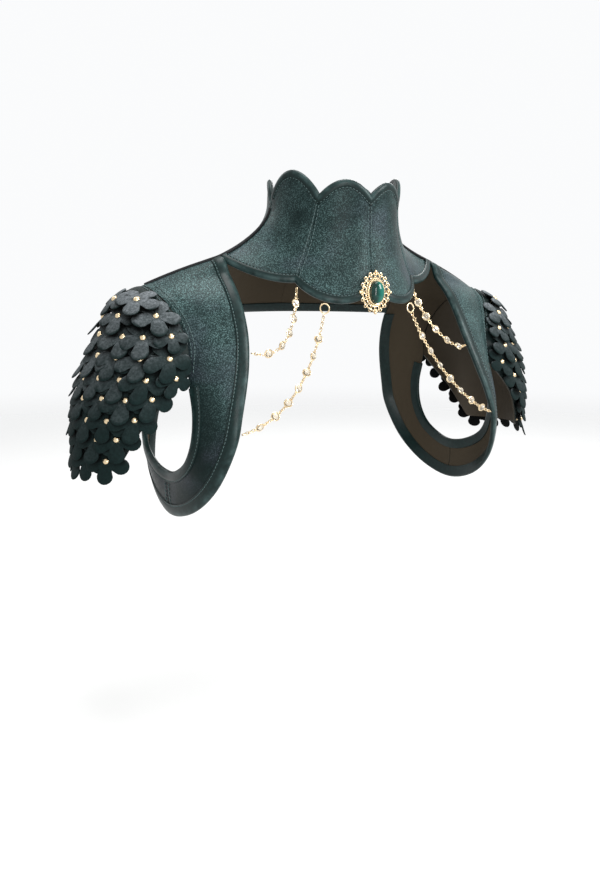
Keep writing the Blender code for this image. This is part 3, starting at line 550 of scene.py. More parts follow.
def glass_finish(colours):
    """Clear, champagne-tinted glass."""
    shader = Shader("bead_glass")
    tint = shader.noise(150, 2)
    shader.set(
        Base_Color=shader.blend(tint, colours.glass, shade(colours.glass, 0.86)),
        Roughness=0.03 + tint * 0.03,
        Transmission_Weight=0.85,
        IOR=1.52,
        Coat_Weight=0.5,
    )
    return shader.material


def stone_finish(colours):
    """Deep green stone, painted paler on one side as light glowing through it."""
    shader = Shader("green_stone")
    across = shader.axis("X") + shader.noise(160, 2) * 0.002 - 0.001
    # Painted light: a paler band on one side of the stone stands in for light glowing through it.
    painted_glow = shader.spread(across, -0.0036, 0.0022) * (1 - shader.spread(across, 0.0028, 0.0068))
    veil = shader.spread(shader.noise(380, 4, 0.6), 0.35, 0.75)
    deep = shader.blend(veil * 0.5, shade(colours.stone, 0.18), shade(colours.stone, 0.6))
    shader.set(
        Base_Color=shader.blend(painted_glow, deep, shade(colours.stone, 1.2)),
        Roughness=0.05 + veil * 0.03,
        Specular_IOR_Level=0.2,
        Coat_Weight=0.35,
        Coat_Roughness=0.02,
    )
    return shader.material


def stage_finish(colours):
    """Pale paper that fades out into the equally pale studio round it."""
    shader = Shader("stage_paper")
    away = shader.node("ShaderNodeVectorMath", {"operation": "LENGTH"}, {0: shader.place()})
    shader.set(
        Base_Color=shader.blend(shader.noise(3, 2) * 0.1, colours.stage, shade(colours.stage, 0.98)),
        Roughness=0.9,
        Specular_IOR_Level=0.1,
        Alpha=1 - shader.spread(Term(shader, away.outputs["Value"]), 0.7, 2.6),
    )
    return shader.material


FINISHES = {
    "leather": leather_finish,
    "binding": binding_finish,
    "suede": suede_finish,
    "ground": ground_finish,
    "piping": piping_finish,
    "thread": thread_finish,
    "gold": lambda colours: gold_finish("pale_gold", colours.gold, 0.16),
    "stud": lambda colours: gold_finish("stud_gold", shade(colours.gold, 0.94), 0.2),
    "glass": glass_finish,
    "stone": stone_finish,
    "stage": stage_finish,
}
# What one run has made so far: finishes by name, and the stitches.
WORK = {}


def finish_of(name):
    """A finish, mixed the first time that a piece asks for it."""
    if name not in WORK:
        WORK[name] = FINISHES[name](bpy.context.scene.pauldron_colours)
    return WORK[name]


class Body:
    """Points, faces and painted marks of one piece, gathered from grids."""

    def __init__(self):
        self.points = []
        self.faces = []
        self.flesh = []
        self.wear_and_highlight = []

    def grid(self, rows, wrap=False, flesh=0.0, wear_and_highlight=None):
        """Faces over rows of points. wrap joins each row's end to its start."""
        rows = np.asarray(rows, float)
        count, width = rows.shape[:2]
        first = len(self.points)
        self.points.extend(map(tuple, rows.reshape(-1, 3)))
        self.flesh.extend([flesh] * (count * width))
        self.wear_and_highlight.extend([0.0] * (count * width) if wear_and_highlight is None else np.asarray(wear_and_highlight).reshape(-1))
        steps = width if wrap else width - 1
        for r in range(count - 1):
            for c in range(steps):
                a, b = first + r * width + c, first + r * width + (c + 1) % width
                self.faces.append((a, b, b + width, a + width))
        return first, count, width

    def sheet(self, rows, half, outward, lifts=None):
        """A closed sheet: its outer face, its flesh side and the strips between them."""
        rows = np.asarray(rows, float)
        normals = grid_normals(rows, outward)
        rise = half if lifts is None else half + np.asarray(lifts)[..., None]
        first, count, width = self.grid(rows + normals * rise)
        second, _, _ = self.grid(rows - normals * half, flesh=1.0)
        ring = list(range(width))
        ring += [r * width + width - 1 for r in range(1, count)]
        ring += [(count - 1) * width + c for c in range(width - 2, -1, -1)]
        ring += [r * width for r in range(count - 2, 0, -1)]
        for a, b in zip(ring, ring[1:] + ring[:1]):
            self.faces.append((first + b, first + a, second + a, second + b))
        return normals

    def cap_end(self, start, width):
        self.faces.append(tuple(range(start, start + width)))

    def closed(self, rings, wear_and_highlight=None):
        """Rings of points joined one to the next, with both ends capped."""
        first, count, width = self.grid(rings, wrap=True, wear_and_highlight=wear_and_highlight)
        self.cap_end(first, width)
        self.cap_end(first + (count - 1) * width, width)

    def tube(self, path, radii, sides=8, closed=False):
        """A round tube along a path."""
        path = np.asarray(path, float)
        count = len(path)
        ahead = np.roll(path, -1, 0) - np.roll(path, 1, 0)
        if not closed:
            ahead[0], ahead[-1] = path[1] - path[0], path[-1] - path[-2]
        ahead /= np.linalg.norm(ahead, axis=1)[:, None]
        side = np.cross(ahead[0], (0.3, 0.5, 0.81))
        rings = []
        for index in range(count):
            side = side - ahead[index] * np.dot(side, ahead[index])
            side /= np.linalg.norm(side)
            up = np.cross(ahead[index], side)
            turns = np.linspace(0, 2 * math.pi, sides, endpoint=False)
            radius = radii if np.isscalar(radii) else radii[index]
            round_it = np.outer(np.cos(turns), side) + np.outer(np.sin(turns), up)
            rings.append(path[index] + radius * round_it)
        if not closed:
            self.closed(rings)
            return
        first, _, width = self.grid(rings, wrap=True)
        last = first + (count - 1) * width
        offset = int(np.argmin(np.linalg.norm(np.asarray(rings[-1]) - rings[0][0], axis=1)))
        for c in range(width):
            a, b = last + (c + offset) % width, last + (c + 1 + offset) % width
            self.faces.append((a, b, first + (c + 1) % width, first + c))

    def ring(self, centre, across, along, radius, stretch, wire, steps, sides):
        """An oval wire ring lying in the plane of two unit directions."""
        turns = np.linspace(0, 2 * math.pi, steps, endpoint=False)
        path = [
            np.asarray(centre) + np.asarray(across) * radius * math.cos(t)
            + np.asarray(along) * radius * stretch * math.sin(t)
            for t in turns
        ]
        self.tube(path, wire, sides, closed=True)

    def ball(self, centre, radius, flat, axis, around, rows):
        """A ball, flattened along its axis."""
        axis = Vector(axis).normalized()
        side = axis.orthogonal().normalized()
        other = axis.cross(side)
        rings = []
        for row in range(rows + 1):
            fall = math.pi * (0.02 + 0.96 * row / rows)
            reach, rise = radius * math.sin(fall), radius * flat * math.cos(fall)
            rings.append([
                Vector(centre) + axis * rise
                + (side * math.cos(t) + other * math.sin(t)) * reach
                for t in np.linspace(0, 2 * math.pi, around, endpoint=False)
            ])
        self.closed(rings)

    def mirrored(self, side):
        """The same body, turned over to the right where side is -1."""
        for index, (x, y, z) in enumerate(self.points):
            self.points[index] = (x * side, y, z)
        return self

    def baked_shade(self, middle_out, reach=13 * MM):
        """How hidden each point is from outside: the share of short rays that meet the piece, used as
        painted shade.
        """
        tree = BVHTree.FromPolygons(self.points, self.faces)
        found = []
        for point in map(Vector, self.points):
            out = (point - Vector((middle_out, 0, min(point.z, CAP_CENTRE_HEIGHT)))).normalized()
            side = out.orthogonal().normalized()
            other = out.cross(side)
            rays = [out] + [
                (out + (side * math.cos(t) + other * math.sin(t)) * 0.9).normalized()
                for t in (math.pi * 2 * step / 7 for step in range(7))
            ]
            hits = sum(
                tree.ray_cast(point + ray * 0.4 * MM, ray, reach)[0] is not None for ray in rays)
            found.append(min(1.0, max(0.0, hits / len(rays) - 0.1) * 2.2))
        return found

    def make(self, name, material, nodes, slot, sharp=40, hollow=None):
        """Makes the piece, rides it on the frame and lets it stand for its nodes."""
        mesh = bpy.data.meshes.new(name)
        mesh.from_pydata(self.points, [], self.faces)
        marks = {"flesh": self.flesh, "wear_and_highlight": self.wear_and_highlight}
        # The painted shade of hidden parts, where a piece has one.
        if hollow:
            marks["hollow"] = hollow
        for key, values in marks.items():
            mesh.attributes.new(key, "FLOAT", "POINT").data.foreach_set("value", values)
        bm = bmesh.new()
        bm.from_mesh(mesh)
        bmesh.ops.recalc_face_normals(bm, faces=bm.faces)
        bm.to_mesh(mesh)
        bm.free()
        mesh.materials.append(material)
        mesh.shade_smooth()
        mesh.set_sharp_from_angle(angle=math.radians(sharp))
        piece = bpy.data.objects.new(name, mesh)
        bpy.context.scene.collection.objects.link(piece)
        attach(piece, "root")
        if nodes:
            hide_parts(*nodes)


def grid_normals(rows, outward):
    """Unit normals of a grid, turned the way that outward gives at its middle."""
    along, down = np.gradient(rows, axis=1), np.gradient(rows, axis=0)
    normals = np.cross(down, along)
    normals /= np.maximum(np.linalg.norm(normals, axis=2), 1e-12)[..., None]
    middle = normals[rows.shape[0] // 2, rows.shape[1] // 2]
    return normals if np.dot(middle, np.asarray(outward)) > 0 else -normals


def reach_along(path):
    """Distance of each point of a path from its start."""
    steps = np.linalg.norm(np.diff(path, axis=0), axis=1)
    return np.concatenate([[0], np.cumsum(steps)])


def span_lengths(rows):
    """Distance of each point of a grid from its row's start, and the rows' whole lengths."""
    steps = np.linalg.norm(np.diff(rows, axis=1), axis=2)
    reach = np.concatenate([np.zeros((rows.shape[0], 1)), np.cumsum(steps, axis=1)], axis=1)
    return reach, reach[:, -1:]


def line_in(rows, normals, distance, from_end):
    """Points and normals at a distance from one side edge of a grid, row by row."""
    reach, whole = span_lengths(rows)
    found, facing = [], []
    for row in range(rows.shape[0]):
        place = whole[row, 0] - distance if from_end else distance
        found.append([np.interp(place, reach[row], rows[row, :, axis]) for axis in range(3)])
        facing.append([np.interp(place, reach[row], normals[row, :, axis]) for axis in range(3)])
    return np.asarray(found), np.asarray(facing)


def crowded(steps):
    """Shares from 0 to 1 that lie closer together at both ends."""
    return [0.5 - 0.5 * math.cos(math.pi * step / steps) for step in range(steps + 1)]


def polar(radius, turn, height):
    """A point round the collar: turn in degrees from the front towards +X."""
    lean = COLLAR_SETBACK + COLLAR_LEAN * height / COLLAR_HEIGHT
    angle = math.radians(turn)
    return Vector((radius * math.sin(angle), -lean - radius * math.cos(angle), height))


def between(index, key, share):
    """A seam's value blended towards the next seam's."""
    return SEAMS[index][key] * (1 - share) + SEAMS[index + 1][key] * share


def gore_point(index, share, fall):
    """A point of a gore: share of its width, and fall from its top edge at 0 to its hem at 1."""
    gore = GORES[index]
    arch = math.sin(math.pi * min(1, max(0, share))) ** ARCH_POWER
    top = COLLAR_HEIGHT + SCALLOP_RISE * gore["crown"] * arch
    hem = CORNER_HEIGHT * between(index, "height", share) - LOBE_DROP * gore["lobe"] * arch
    flare = COLLAR_FLARE * between(index, "flare", share) + GORE_BELLY * gore["belly"] * arch
    height = top + (hem - top) * fall
    sink = min(1, max(0, (COLLAR_HEIGHT - height) / (COLLAR_HEIGHT - hem)))
    turn = between(index, "top", share) * (1 - sink) + between(index, "hem", share) * sink
    return polar(NECK_RADIUS + flare * sink**2, turn, height)


def gore_rows(index, columns=26, rows=36):
    """A gore's middle surface as rows of points from its top edge to its hem."""
    return np.array([
        [gore_point(index, share, row / rows) for share in crowded(columns)]
        for row in range(rows + 1)
    ])


def gore_stations(index, at_hem, width, steps=26):
    """Edge, inner line and outward direction of a gore's binding along its top or its hem."""
    fall, way = (1.0, -1) if at_hem else (0.0, 1)
    near = 0.5 + 0.8 * (fall - 0.5)
    stations = []
    for step, share in enumerate(crowded(steps)):
        low, high = max(0, share - 0.004), min(1, share + 0.004)
        point = gore_point(index, share, fall)
        down = gore_point(index, share, fall + 0.04) - gore_point(index, share, fall - 0.04)
        ahead = gore_point(index, high, near) - gore_point(index, low, near)
        outward = ahead.cross(down).normalized()
        if outward.dot(Vector((point.x, point.y + COLLAR_SETBACK, 0))) < 0:
            outward = -outward
        tangent = gore_point(index, high, fall) - gore_point(index, low, fall)
        into = down if step in (0, steps) else tangent.cross(outward)
        stations.append((point, point + into.normalized() * way * width, outward))
    return stations


def turned_stations(stations, side):
    flip = Matrix.Diagonal((side, 1, 1))
    return [tuple(flip @ vector for vector in station) for station in stations]


def square_station(point, inward, tangent, guide, width):
    """Edge, inner line and outward direction of a binding, square to its edge."""
    square = (inward - tangent * inward.dot(tangent)).normalized()
    outward = tangent.cross(square).normalized()
    if outward.dot(guide) < 0:
        outward = -outward
    return point, point + square * width, outward


def bound_edge(body, stations, stitches):
    """Sweeps the folded binding's profile along its stations, marks its crest and sews it."""
    rows, wear_and_highlight = [], []
    for point, inner, outward in stations:
        into = inner - point
        unit = into.normalized()
        rows.append([
            point + into * share - unit * past * MM + outward * height * MM
            for share, past, height in BINDING_PROFILE
        ])
        # The crest's mark, for a paler crest that is partly worn by rubbing and partly a painted
        # highlight.
        wear_and_highlight.append([max(0.0, 1 - abs(share - 0.1) / 0.35) if height > 0 else 0.0
                     for share, _, height in BINDING_PROFILE])
    body.closed(rows, wear_and_highlight)
    path = [point + (inner - point) * STITCH_DEPTH + outward * STITCH_RISE
            for point, inner, outward in stations]
    stitches.run(path, [outward for _, _, outward in stations])


class Stitches:
    """Rows of short thread stitches gathered into one piece."""

    def __init__(self, sizes):
        self.body = Body()
        self.sizes = sizes

    def run(self, path, normals):
        path, normals = np.asarray(path, float), np.asarray(normals, float)
        reach = reach_along(path)
        count = int(reach[-1] / self.sizes.stitch_pitch)
        if count < 1:
            return
        places = (np.arange(count) + 0.5) * reach[-1] / count
        half = self.sizes.stitch_length / 2
        for place in places:
            a, b, n = (
                np.array([np.interp(at, reach, source[:, axis]) for axis in range(3)])
                for at, source in ((place - half, path), (place + half, path), (place, normals))
            )
            n /= np.linalg.norm(n)
            radius = self.sizes.stitch_radius
            line = [a + (b - a) * t + n * rise * radius
                    for t, rise in ((0, -1.2), (0.2, 0.1), (0.5, 0.55), (0.8, 0.1), (1, -1.2))]
            self.body.tube(line, [radius * f for f in (0.6, 0.95, 1.05, 0.95, 0.6)], sides=5)

    def mirror_run(self, path, normals, side):
        flip = np.array([side, 1, 1])
        self.run(np.asarray(path, float) * flip, np.asarray(normals, float) * flip)


def cap_outline():
    """The cap's profile from its crown to its foot: distances along it, and (radius, height)."""
    points = []
    for step in range(97):
        angle = math.pi / 2 * step / 96
        points.append((CAP_RADIUS * math.sin(angle), CAP_CENTRE_HEIGHT + CAP_DOME * math.cos(angle)))
    skirt = CAP_LENGTH - CAP_DOME
    for step in range(1, 49):
        down = step / 48
        points.append((CAP_RADIUS - CAP_TAPER * down**2, CAP_CENTRE_HEIGHT - skirt * down))
    points = np.array(points)
    return reach_along(points), points


CAP_ALONG, CAP_PROFILE = cap_outline()


def cap_axis(height):
    """How far out the middle of the arm lies at a height."""
    fall = max(0, (SHOULDER_HEIGHT - height) / CAP_LENGTH)
    share = min(1, (fall / HOLLOW_SHARE) ** HOLLOW_POWER)
    hollow = math.sin(math.pi * share) ** (1 if share < 0.5 else 2)
    return SHOULDER_HALF_WIDTH + ARM_SPREAD * fall**SPREAD_POWER - ARM_HOLLOW * hollow


def cap_profile(distance):
    return [float(np.interp(distance, CAP_ALONG, column)) for column in CAP_PROFILE.T]


def cap_point(turn, distance, lift=0.0):
    """A point of the cap's outer face: turn in degrees from +X, negative towards the front."""
    distance = max(distance, 0)
    step = 0.4 * MM
    radius, height = cap_profile(distance)
    (r0, z0), (r1, z1) = cap_profile(distance - step), cap_profile(distance + step)
    slope = Vector((z0 - z1, r1 - r0)).normalized() if distance < CAP_ALONG[-1] else Vector((1, 0))
    angle = math.radians(turn)
    reach = radius + slope.x * lift
    return Vector((cap_axis(height) + reach * math.cos(angle), reach * math.sin(angle),
                   height + slope.y * lift))


def cap_foot(turn):
    """How far down the cap reaches at a turn."""
    level = CAP_CELL_TURN * LEVEL_CELLS
    lowest = FIRST_FLOWER_ALONG + FLOWER_PITCH * (len(FLOWER_RINGS) - 0.5)
    return lowest - FLOWER_PITCH * max(0, abs(turn) - level) / CAP_CELL_TURN


def seam_turn(distance):
    """The turn at which the cap meets the side."""
    share = min(1, distance / cap_foot(CORNER_TURN))
    return CROWN_TURN + (CORNER_TURN - CROWN_TURN) * share


def side_rows():
    """Inner edge and armhole edge of a side, row by row all the way round the arm."""
    corner = gore_point(1, 1.0, 1.0)
    start = corner + (cap_point(0, 0) - corner).normalized() * INNER_START
    foot = cap_foot(CORNER_TURN)
    rings = [FIRST_FLOWER_ALONG + FLOWER_PITCH * (ring - 0.5) for ring in range(len(FLOWER_RINGS))]
    seam = [distance for distance in rings if distance < foot - FLOWER_PITCH / 2] + [foot]
    half = []
    for facing in (-1, 1):
        inner = [
            Vector((start.x + (SHOULDER_HALF_WIDTH - start.x) * row["out"],
                    CHEST_DEPTH * row["forward"] * facing, start.z - SIDE_DROP * row["down"]))
            for row in INNER_EDGE
        ]
        inner[0].y = start.y
        armhole = [cap_point(0, 0, -MM) - Vector((CAP_GAP, 0, 0))]
        for distance in seam:
            turn = seam_turn(distance) + math.degrees(CAP_GAP / cap_profile(distance)[0])
            armhole.append(cap_point(turn * facing, distance, -MM))
        low = armhole[-1].z
        armhole += [
            Vector((SHOULDER_HALF_WIDTH - CAP_RADIUS * row["in"],
                    CAP_RADIUS * row["forward"] * facing, low - ARMHOLE_DROP * row["down"]))
            for row in ARMHOLE
        ]
        half.append((inner, armhole))
    (front_in, front_arm), (back_in, back_arm) = half
    inner = front_in + back_in[-2:0:-1]
    armhole = front_arm + back_arm[-2:0:-1]
    crown = [row["crown"] for row in INNER_EDGE]
    crown += crown[-2:0:-1]
    return inner, armhole, crown


def smooth_at(values, place):
    """A smooth curve through a closed ring of values, at a fractional place."""
    count = len(values)
    base = math.floor(place)
    t = place - base
    a, b, c, d = (values[(base + k) % count] for k in (-1, 0, 1, 2))
    return 0.5 * ((2 * b) + (c - a) * t + (2 * a - 5 * b + 4 * c - d) * t * t
                  + (3 * b - a - 3 * c + d) * t**3)


INNER_RING, ARMHOLE_RING, CROWN_RING = side_rows()
INSIDE = Vector((SHOULDER_HALF_WIDTH / 2, 0, -CHEST_DEPTH))


def side_point(place, share):
    """A point of a shoulder side: place round the arm from the ridge, share across its width."""
    a, b = smooth_at(INNER_RING, place), smooth_at(ARMHOLE_RING, place)
    ahead = (smooth_at(INNER_RING, place + 0.05) + smooth_at(ARMHOLE_RING, place + 0.05)
             - smooth_at(INNER_RING, place - 0.05) - smooth_at(ARMHOLE_RING, place - 0.05))
    out = (b - a).cross(ahead).normalized()
    if out.dot((a + b) / 2 - INSIDE) < 0:
        out = -out
    crown = PANEL_CROWN * smooth_at(CROWN_RING, place)
    return a.lerp(b, share) + out * crown * 4 * share * (1 - share)


def side_stations(places, at_armhole, width):
    """Stations of a binding along a side's inner edge or along its armhole."""
    edge_share, inner_share = (1.0, 0.85) if at_armhole else (0.0, 0.15)
    stations = []
    for place in places:
        point = side_point(place, edge_share)
        inward = (side_point(place, inner_share) - point).normalized()
        before, after = (side_point(place + step, edge_share) for step in (-0.04, 0.04))
        guide = side_point(place, 0.5) - INSIDE
        stations.append(square_station(point, inward, (after - before).normalized(), guide, width))
    return stations


def yoke_point(share, fall):
    """A point of the back yoke: share from shoulder to centre back, fall from the collar."""
    scaled = share * 2
    index = 2 if scaled < 1 else 3
    local = scaled - (index - 2)
    tuck = min(1, share * 6)
    top = gore_point(index, min(1, local), 1.0 - 0.07 * tuck)
    top -= Vector((top.x, top.y, 0)).normalized() * YOKE_TUCK * tuck
    low = smooth_at(INNER_RING, len(INNER_RING) - YOKE_ROW)
    across = 1 - math.sin(math.pi / 2 * share)
    foot = Vector((low.x * across, BACK_DEPTH - (BACK_DEPTH - low.y) * across**2,
                   BACK_EDGE_HEIGHT - (BACK_EDGE_HEIGHT - low.z) * across**2))
    point = top.lerp(foot, fall)
    end = smooth_at(INNER_RING, (len(INNER_RING) - YOKE_ROW * fall) % len(INNER_RING))
    straight = gore_point(2, 0, 1.0).lerp(low, fall)
    return point + (end - straight) * (1 - share) ** 5


def build_gores(sizes, stitches):
    """The collar's gores, each swelling between its sunk seams."""
    half = sizes.thickness / 2
    for index, gore in enumerate(GORES):
        rows = gore_rows(index)
        middle = rows[rows.shape[0] // 2, rows.shape[1] // 2]
        outward = (middle[0], middle[1] + COLLAR_SETBACK, 0)
        reach, whole = span_lengths(rows)
        near = np.minimum(reach, whole - reach)
        lifts = sizes.padding * (1 - np.exp(-near / PAD_RISE))
        lifts -= sizes.seam_valley * np.exp(-(near / VALLEY_WIDTH) ** 2)
        for name, side in SIDES:
            body = Body()
            normals = body.sheet(rows, half, outward, lifts)
            body.mirrored(side).make(
                f"{name}_{gore['name']}_gore_leather", finish_of("leather"),
                (f"{name}_{gore['name']}_gore",), "dark_green_leather")
            for from_end in (False, True):
                if (index + from_end) == 2:
                    continue
                path, facing = line_in(rows, normals, GORE_STITCH_INSET, from_end)
                inside = slice(4, -3) if index < 2 else slice(4, None)
                stitches.mirror_run((path + facing * (half + 0.0003))[inside], facing[inside], side)


def build_collar_bindings(stitches):
    """Rolled bindings along the collar's scallops and along the lobes in front."""
    for name, at_hem, last in (("top", False, 3), ("hem", True, 1)):
        half = []
        for index in range(last + 1):
            more = gore_stations(index, at_hem, COLLAR_BINDING_WIDTH)
            half += more if not half else more[1:]
        stations = turned_stations(reversed(half), -1)[:-1] + half
        if name == "top":
            stations = stations[1:-1]
        body = Body()
        bound_edge(body, stations, stitches)
        body.make(f"collar_{name}_roll", finish_of("binding"), (f"collar_{name}_binding",),
                  "green_binding")


def build_sides(sizes, stitches):
    """Leather of the shoulder sides with the seams that carry the caps, and their bindings."""
    half = sizes.thickness / 2
    gap = 0.02
    halves = (
        ("front", gap, SIDE_ROWS - gap),
        ("back", 2 * SIDE_ROWS - gap, SIDE_ROWS + gap),
    )
    for kind, start, stop in halves:
        places = np.linspace(start, stop, 90)
        rows = np.array([[side_point(place, share) for share in crowded(22)] for place in places])
        middle = Vector(rows[45, 11])
        reach, whole = span_lengths(rows)
        to_arm = whole - reach
        seam = np.array([1.0 if min(place, 2 * SIDE_ROWS - place) < CAP_SEAM_ROW else 0.0
                         for place in places])[:, None]
        lifts = 0.0006 * seam * np.exp(-(to_arm / (6 * MM)) ** 4)
        lifts = lifts - 0.0005 * seam * np.exp(-((to_arm - CAP_SEAM_GROOVE) / (1.2 * MM)) ** 2)
        for name, side in SIDES:
            body = Body()
            normals = body.sheet(rows, half, middle - INSIDE, lifts)
            body.mirrored(side).make(
                f"{name}_shoulder_{kind}_leather", finish_of("leather"),
                (f"{name}_shoulder_{kind}",), "dark_green_leather")
            in_seam = seam[:, 0] > 0
            for distance in CAP_SEAM_STITCHES:
                path, facing = line_in(rows, normals, distance, True)
                path = (path + facing * (half + 0.0006))[in_seam]
                stitches.mirror_run(path[3:], facing[in_seam][3:], side)
            ends = rows[-2:-1].transpose(1, 0, 2)[:, 0]
            facing = normals[-2]
            stitches.mirror_run((ends + facing * (half + 0.0002))[5:-4], facing[5:-4], side)
    edges = (
        ("edge", np.linspace(0.08, 2 * SIDE_ROWS - YOKE_ROW - 0.12, 170), False, EDGE_BINDING_WIDTH),
        ("armhole", np.linspace(CAP_SEAM_ROW + 0.35, 2 * SIDE_ROWS - CAP_SEAM_ROW - 0.35, 110), True,
         BINDING_WIDTH),
    )
    for kind, places, at_armhole, width in edges:
        stations = side_stations(places, at_armhole, width)
        build_mirrored_binding(kind, stations, stitches)


def build_mirrored_binding(kind, stations, stitches):
    """One folded binding on each side."""
    for side_name, side in SIDES:
        body = Body()
        bound_edge(body, turned_stations(stations, side), stitches)
        body.make(f"{side_name}_{kind}_roll", finish_of("binding"),
                  (f"{side_name}_{kind}_binding",), "green_binding")


def build_yoke(sizes, stitches):
    """The back yokes, their bound arch and the strip over the closure."""
    half = sizes.thickness / 2
    shares = np.linspace(0.004, 0.9985, 44)
    rows = np.array([[yoke_point(share, fall) for share in shares] for fall in np.linspace(0, 1, 15)])
    for name, side in SIDES:
        body = Body()
        normals = body.sheet(rows, half, (0.3, 1, 0))
        body.mirrored(side).make(
            f"{name}_yoke_leather", finish_of("leather"), (f"{name}_yoke",), "dark_green_leather")
        path = rows[1] * 0.75 + rows[2] * 0.25 + normals[1] * (half + 0.0002)
        stitches.mirror_run(path[2:-8], normals[1][2:-8], side)
    stations = []
    for share in shares:
        point = yoke_point(share, 1.0)
        inward = (yoke_point(share, 0.8) - point).normalized()
        before, after = (yoke_point(share + step, 1.0) for step in (-0.004, 0.004))
        tangent = (after - before).normalized()
        stations.append(square_station(point, inward, tangent, Vector((0, 1, 0)), BINDING_WIDTH))
    build_mirrored_binding("yoke", stations, stitches)
    centre = [gore_point(3, 1.0, fall) for fall in np.linspace(0.16, 1, 18)]
    centre += [yoke_point(0.995, fall) for fall in np.linspace(0.15, 0.72, 7)]
    centre = np.array(centre)
    centre[:, 0] = 0
    ahead = np.gradient(centre, axis=0)
    ups = np.cross(ahead, (1, 0, 0))
    ups /= np.linalg.norm(ups, axis=1)[:, None]
    ups *= np.sign(ups[:, 1:2])
    shares = np.array(crowded(14)) * 2 - 1
    strip = np.array([
        [point + up * (PLACKET_LIFT - 0.0008 * share**4) + np.array((PLACKET_HALF * share, 0, 0))
         for share in shares]
        for point, up in zip(centre, ups)
    ])
    body = Body()
    normals = body.sheet(strip, half, (0, 1, 0))
    body.make("closure_strip_leather", finish_of("leather"), ("back_placket",),
              "dark_green_leather")
    for from_end in (False, True):
        path, facing = line_in(strip, normals, STRIP_STITCH_INSET, from_end)
        stitches.run(path + facing * (half + 0.0002), facing)


def build_piping(sizes):
    """Black piping down the collar's side seam and along the shoulder's ridge."""
    line, lifts = [], []
    for fall in np.linspace(0.12, 1.0, 20):
        point = gore_point(1, 1.0, fall)
        out = (point - gore_point(1, 1.0, fall - 0.05)).cross(Vector((0, -1, 0))).normalized()
        if out.x < 0:
            out = -out
        line.append((point, out))
        lifts.append(1.4 + 0.6 * max(0, (fall - 0.82) / 0.18))
    for share in np.linspace(0.03, 0.985, 24):
        line.append((side_point(0, share), Vector((0, 0, 1))))
        lifts.append(1.6 + 0.4 * max(0, (0.2 - share) / 0.2))
    path = np.array([point + out * lift * MM for (point, out), lift in zip(line, lifts)])
    for _ in range(2):
        path[1:-1] = (path[:-2] + 2 * path[1:-1] + path[2:]) / 4
    for name, side in SIDES:
        body = Body()
        body.tube(path, sizes.piping_radius, sides=10)
        body.mirrored(side).make(f"{name}_black_piping", finish_of("piping"), (f"{name}_piping",),
                                 "black_piping")


def flower_sites():
    """Turn and distance along of every flower of one cap."""
    return [
        (turn * (1 - 0.025 * max(0, ring - 3)), FIRST_FLOWER_ALONG + FLOWER_STEP * ring)
        for ring, cells in enumerate(FLOWER_RINGS)
        for cell in cells
        for turn in sorted({CAP_CELL_TURN * cell, -CAP_CELL_TURN * cell})
    ]


def petal_reach(off, sizes, scale):
    """How far a petal reaches at an angle off its middle: a round lobe on a narrow neck."""
    lobe = sizes.lobe_radius * scale
    middle = sizes.reach * scale - lobe
    edge = math.asin(min(1.0, lobe / middle))
    if abs(off) < edge:
        return middle * math.cos(off) + math.sqrt(max(0, lobe**2 - (middle * math.sin(off)) ** 2))
    notch = (abs(off) - edge) / max(math.pi / 5 - edge, 1e-6)
    return middle * math.cos(edge) * (1 - sizes.notch_depth * notch)


def add_flower(body, studs, site, sizes, chance):
    """A five-petalled leather flower, tilted like a scale, and the stud that holds it."""
    turn, distance = site
    turn += chance.uniform(-1.5, 1.5)
    distance += chance.uniform(-1.2, 1.2) * MM
    to_seam = math.radians(seam_turn(distance) + 2 - abs(turn)) * cap_profile(distance)[0]
    scale = min(1.0, to_seam / sizes.reach) * chance.uniform(0.96, 1.03)
    spin = math.radians(36 + chance.uniform(-13, 13))
    curls = [chance.uniform(-0.6, 1.0) * sizes.curl for _ in range(5)]
    tilt = sizes.tilt + chance.uniform(-0.03, 0.05)
    tilt_round = FLOWER_TILT_ROUND + chance.uniform(-0.05, 0.05)

    def place(down, around, lift):
        radius = cap_profile(distance + down)[0]
        return cap_point(turn + math.degrees(around / radius), distance + down, lift)

    def surface(petal, off, share, half):
        reach = petal_reach(off, sizes, scale) * share
        angle = petal * math.pi * 2 / 5 + off + spin
        down, around = -reach * math.cos(angle), reach * math.sin(angle)
        side = reach * math.sin(off) / sizes.lobe_radius
        bend = curls[petal] * (reach / sizes.reach) ** 2 - 0.0004 * side**2
        dish = -0.0010 * math.exp(-(reach / (4 * MM)) ** 2)
        lift = FLOWER_LIFT + tilt * down + tilt_round * around + bend + dish + half
        return place(down, around, lift)

    thick = sizes.thickness / 2
    rays = [(petal, math.radians(off)) for petal in range(5) for off in PETAL_RAYS]
    bands = [(share, thick * side, rim) for share, side, rim in PETAL_BANDS]
    rings = [[surface(petal, off, share, half) for petal, off in rays] for share, half, _ in bands]
    body.closed(rings, [[rim] * len(rays) for _, _, rim in bands])
    seat = place(0, 0, FLOWER_LIFT)
    axis = (place(0, 0, FLOWER_LIFT + 0.004) - seat).normalized()
    down_way = (place(0.002, 0, FLOWER_LIFT + 0.002 * tilt) - seat).normalized()
    axis = (axis - down_way * axis.dot(down_way)).normalized()
    studs.ball(seat - axis * 0.0002, sizes.stud_radius * scale**0.3, 0.72, axis, around=14, rows=8)
    studs.tube([seat - axis * 0.0068, seat - axis * 0.0005], 0.0011, sides=6)


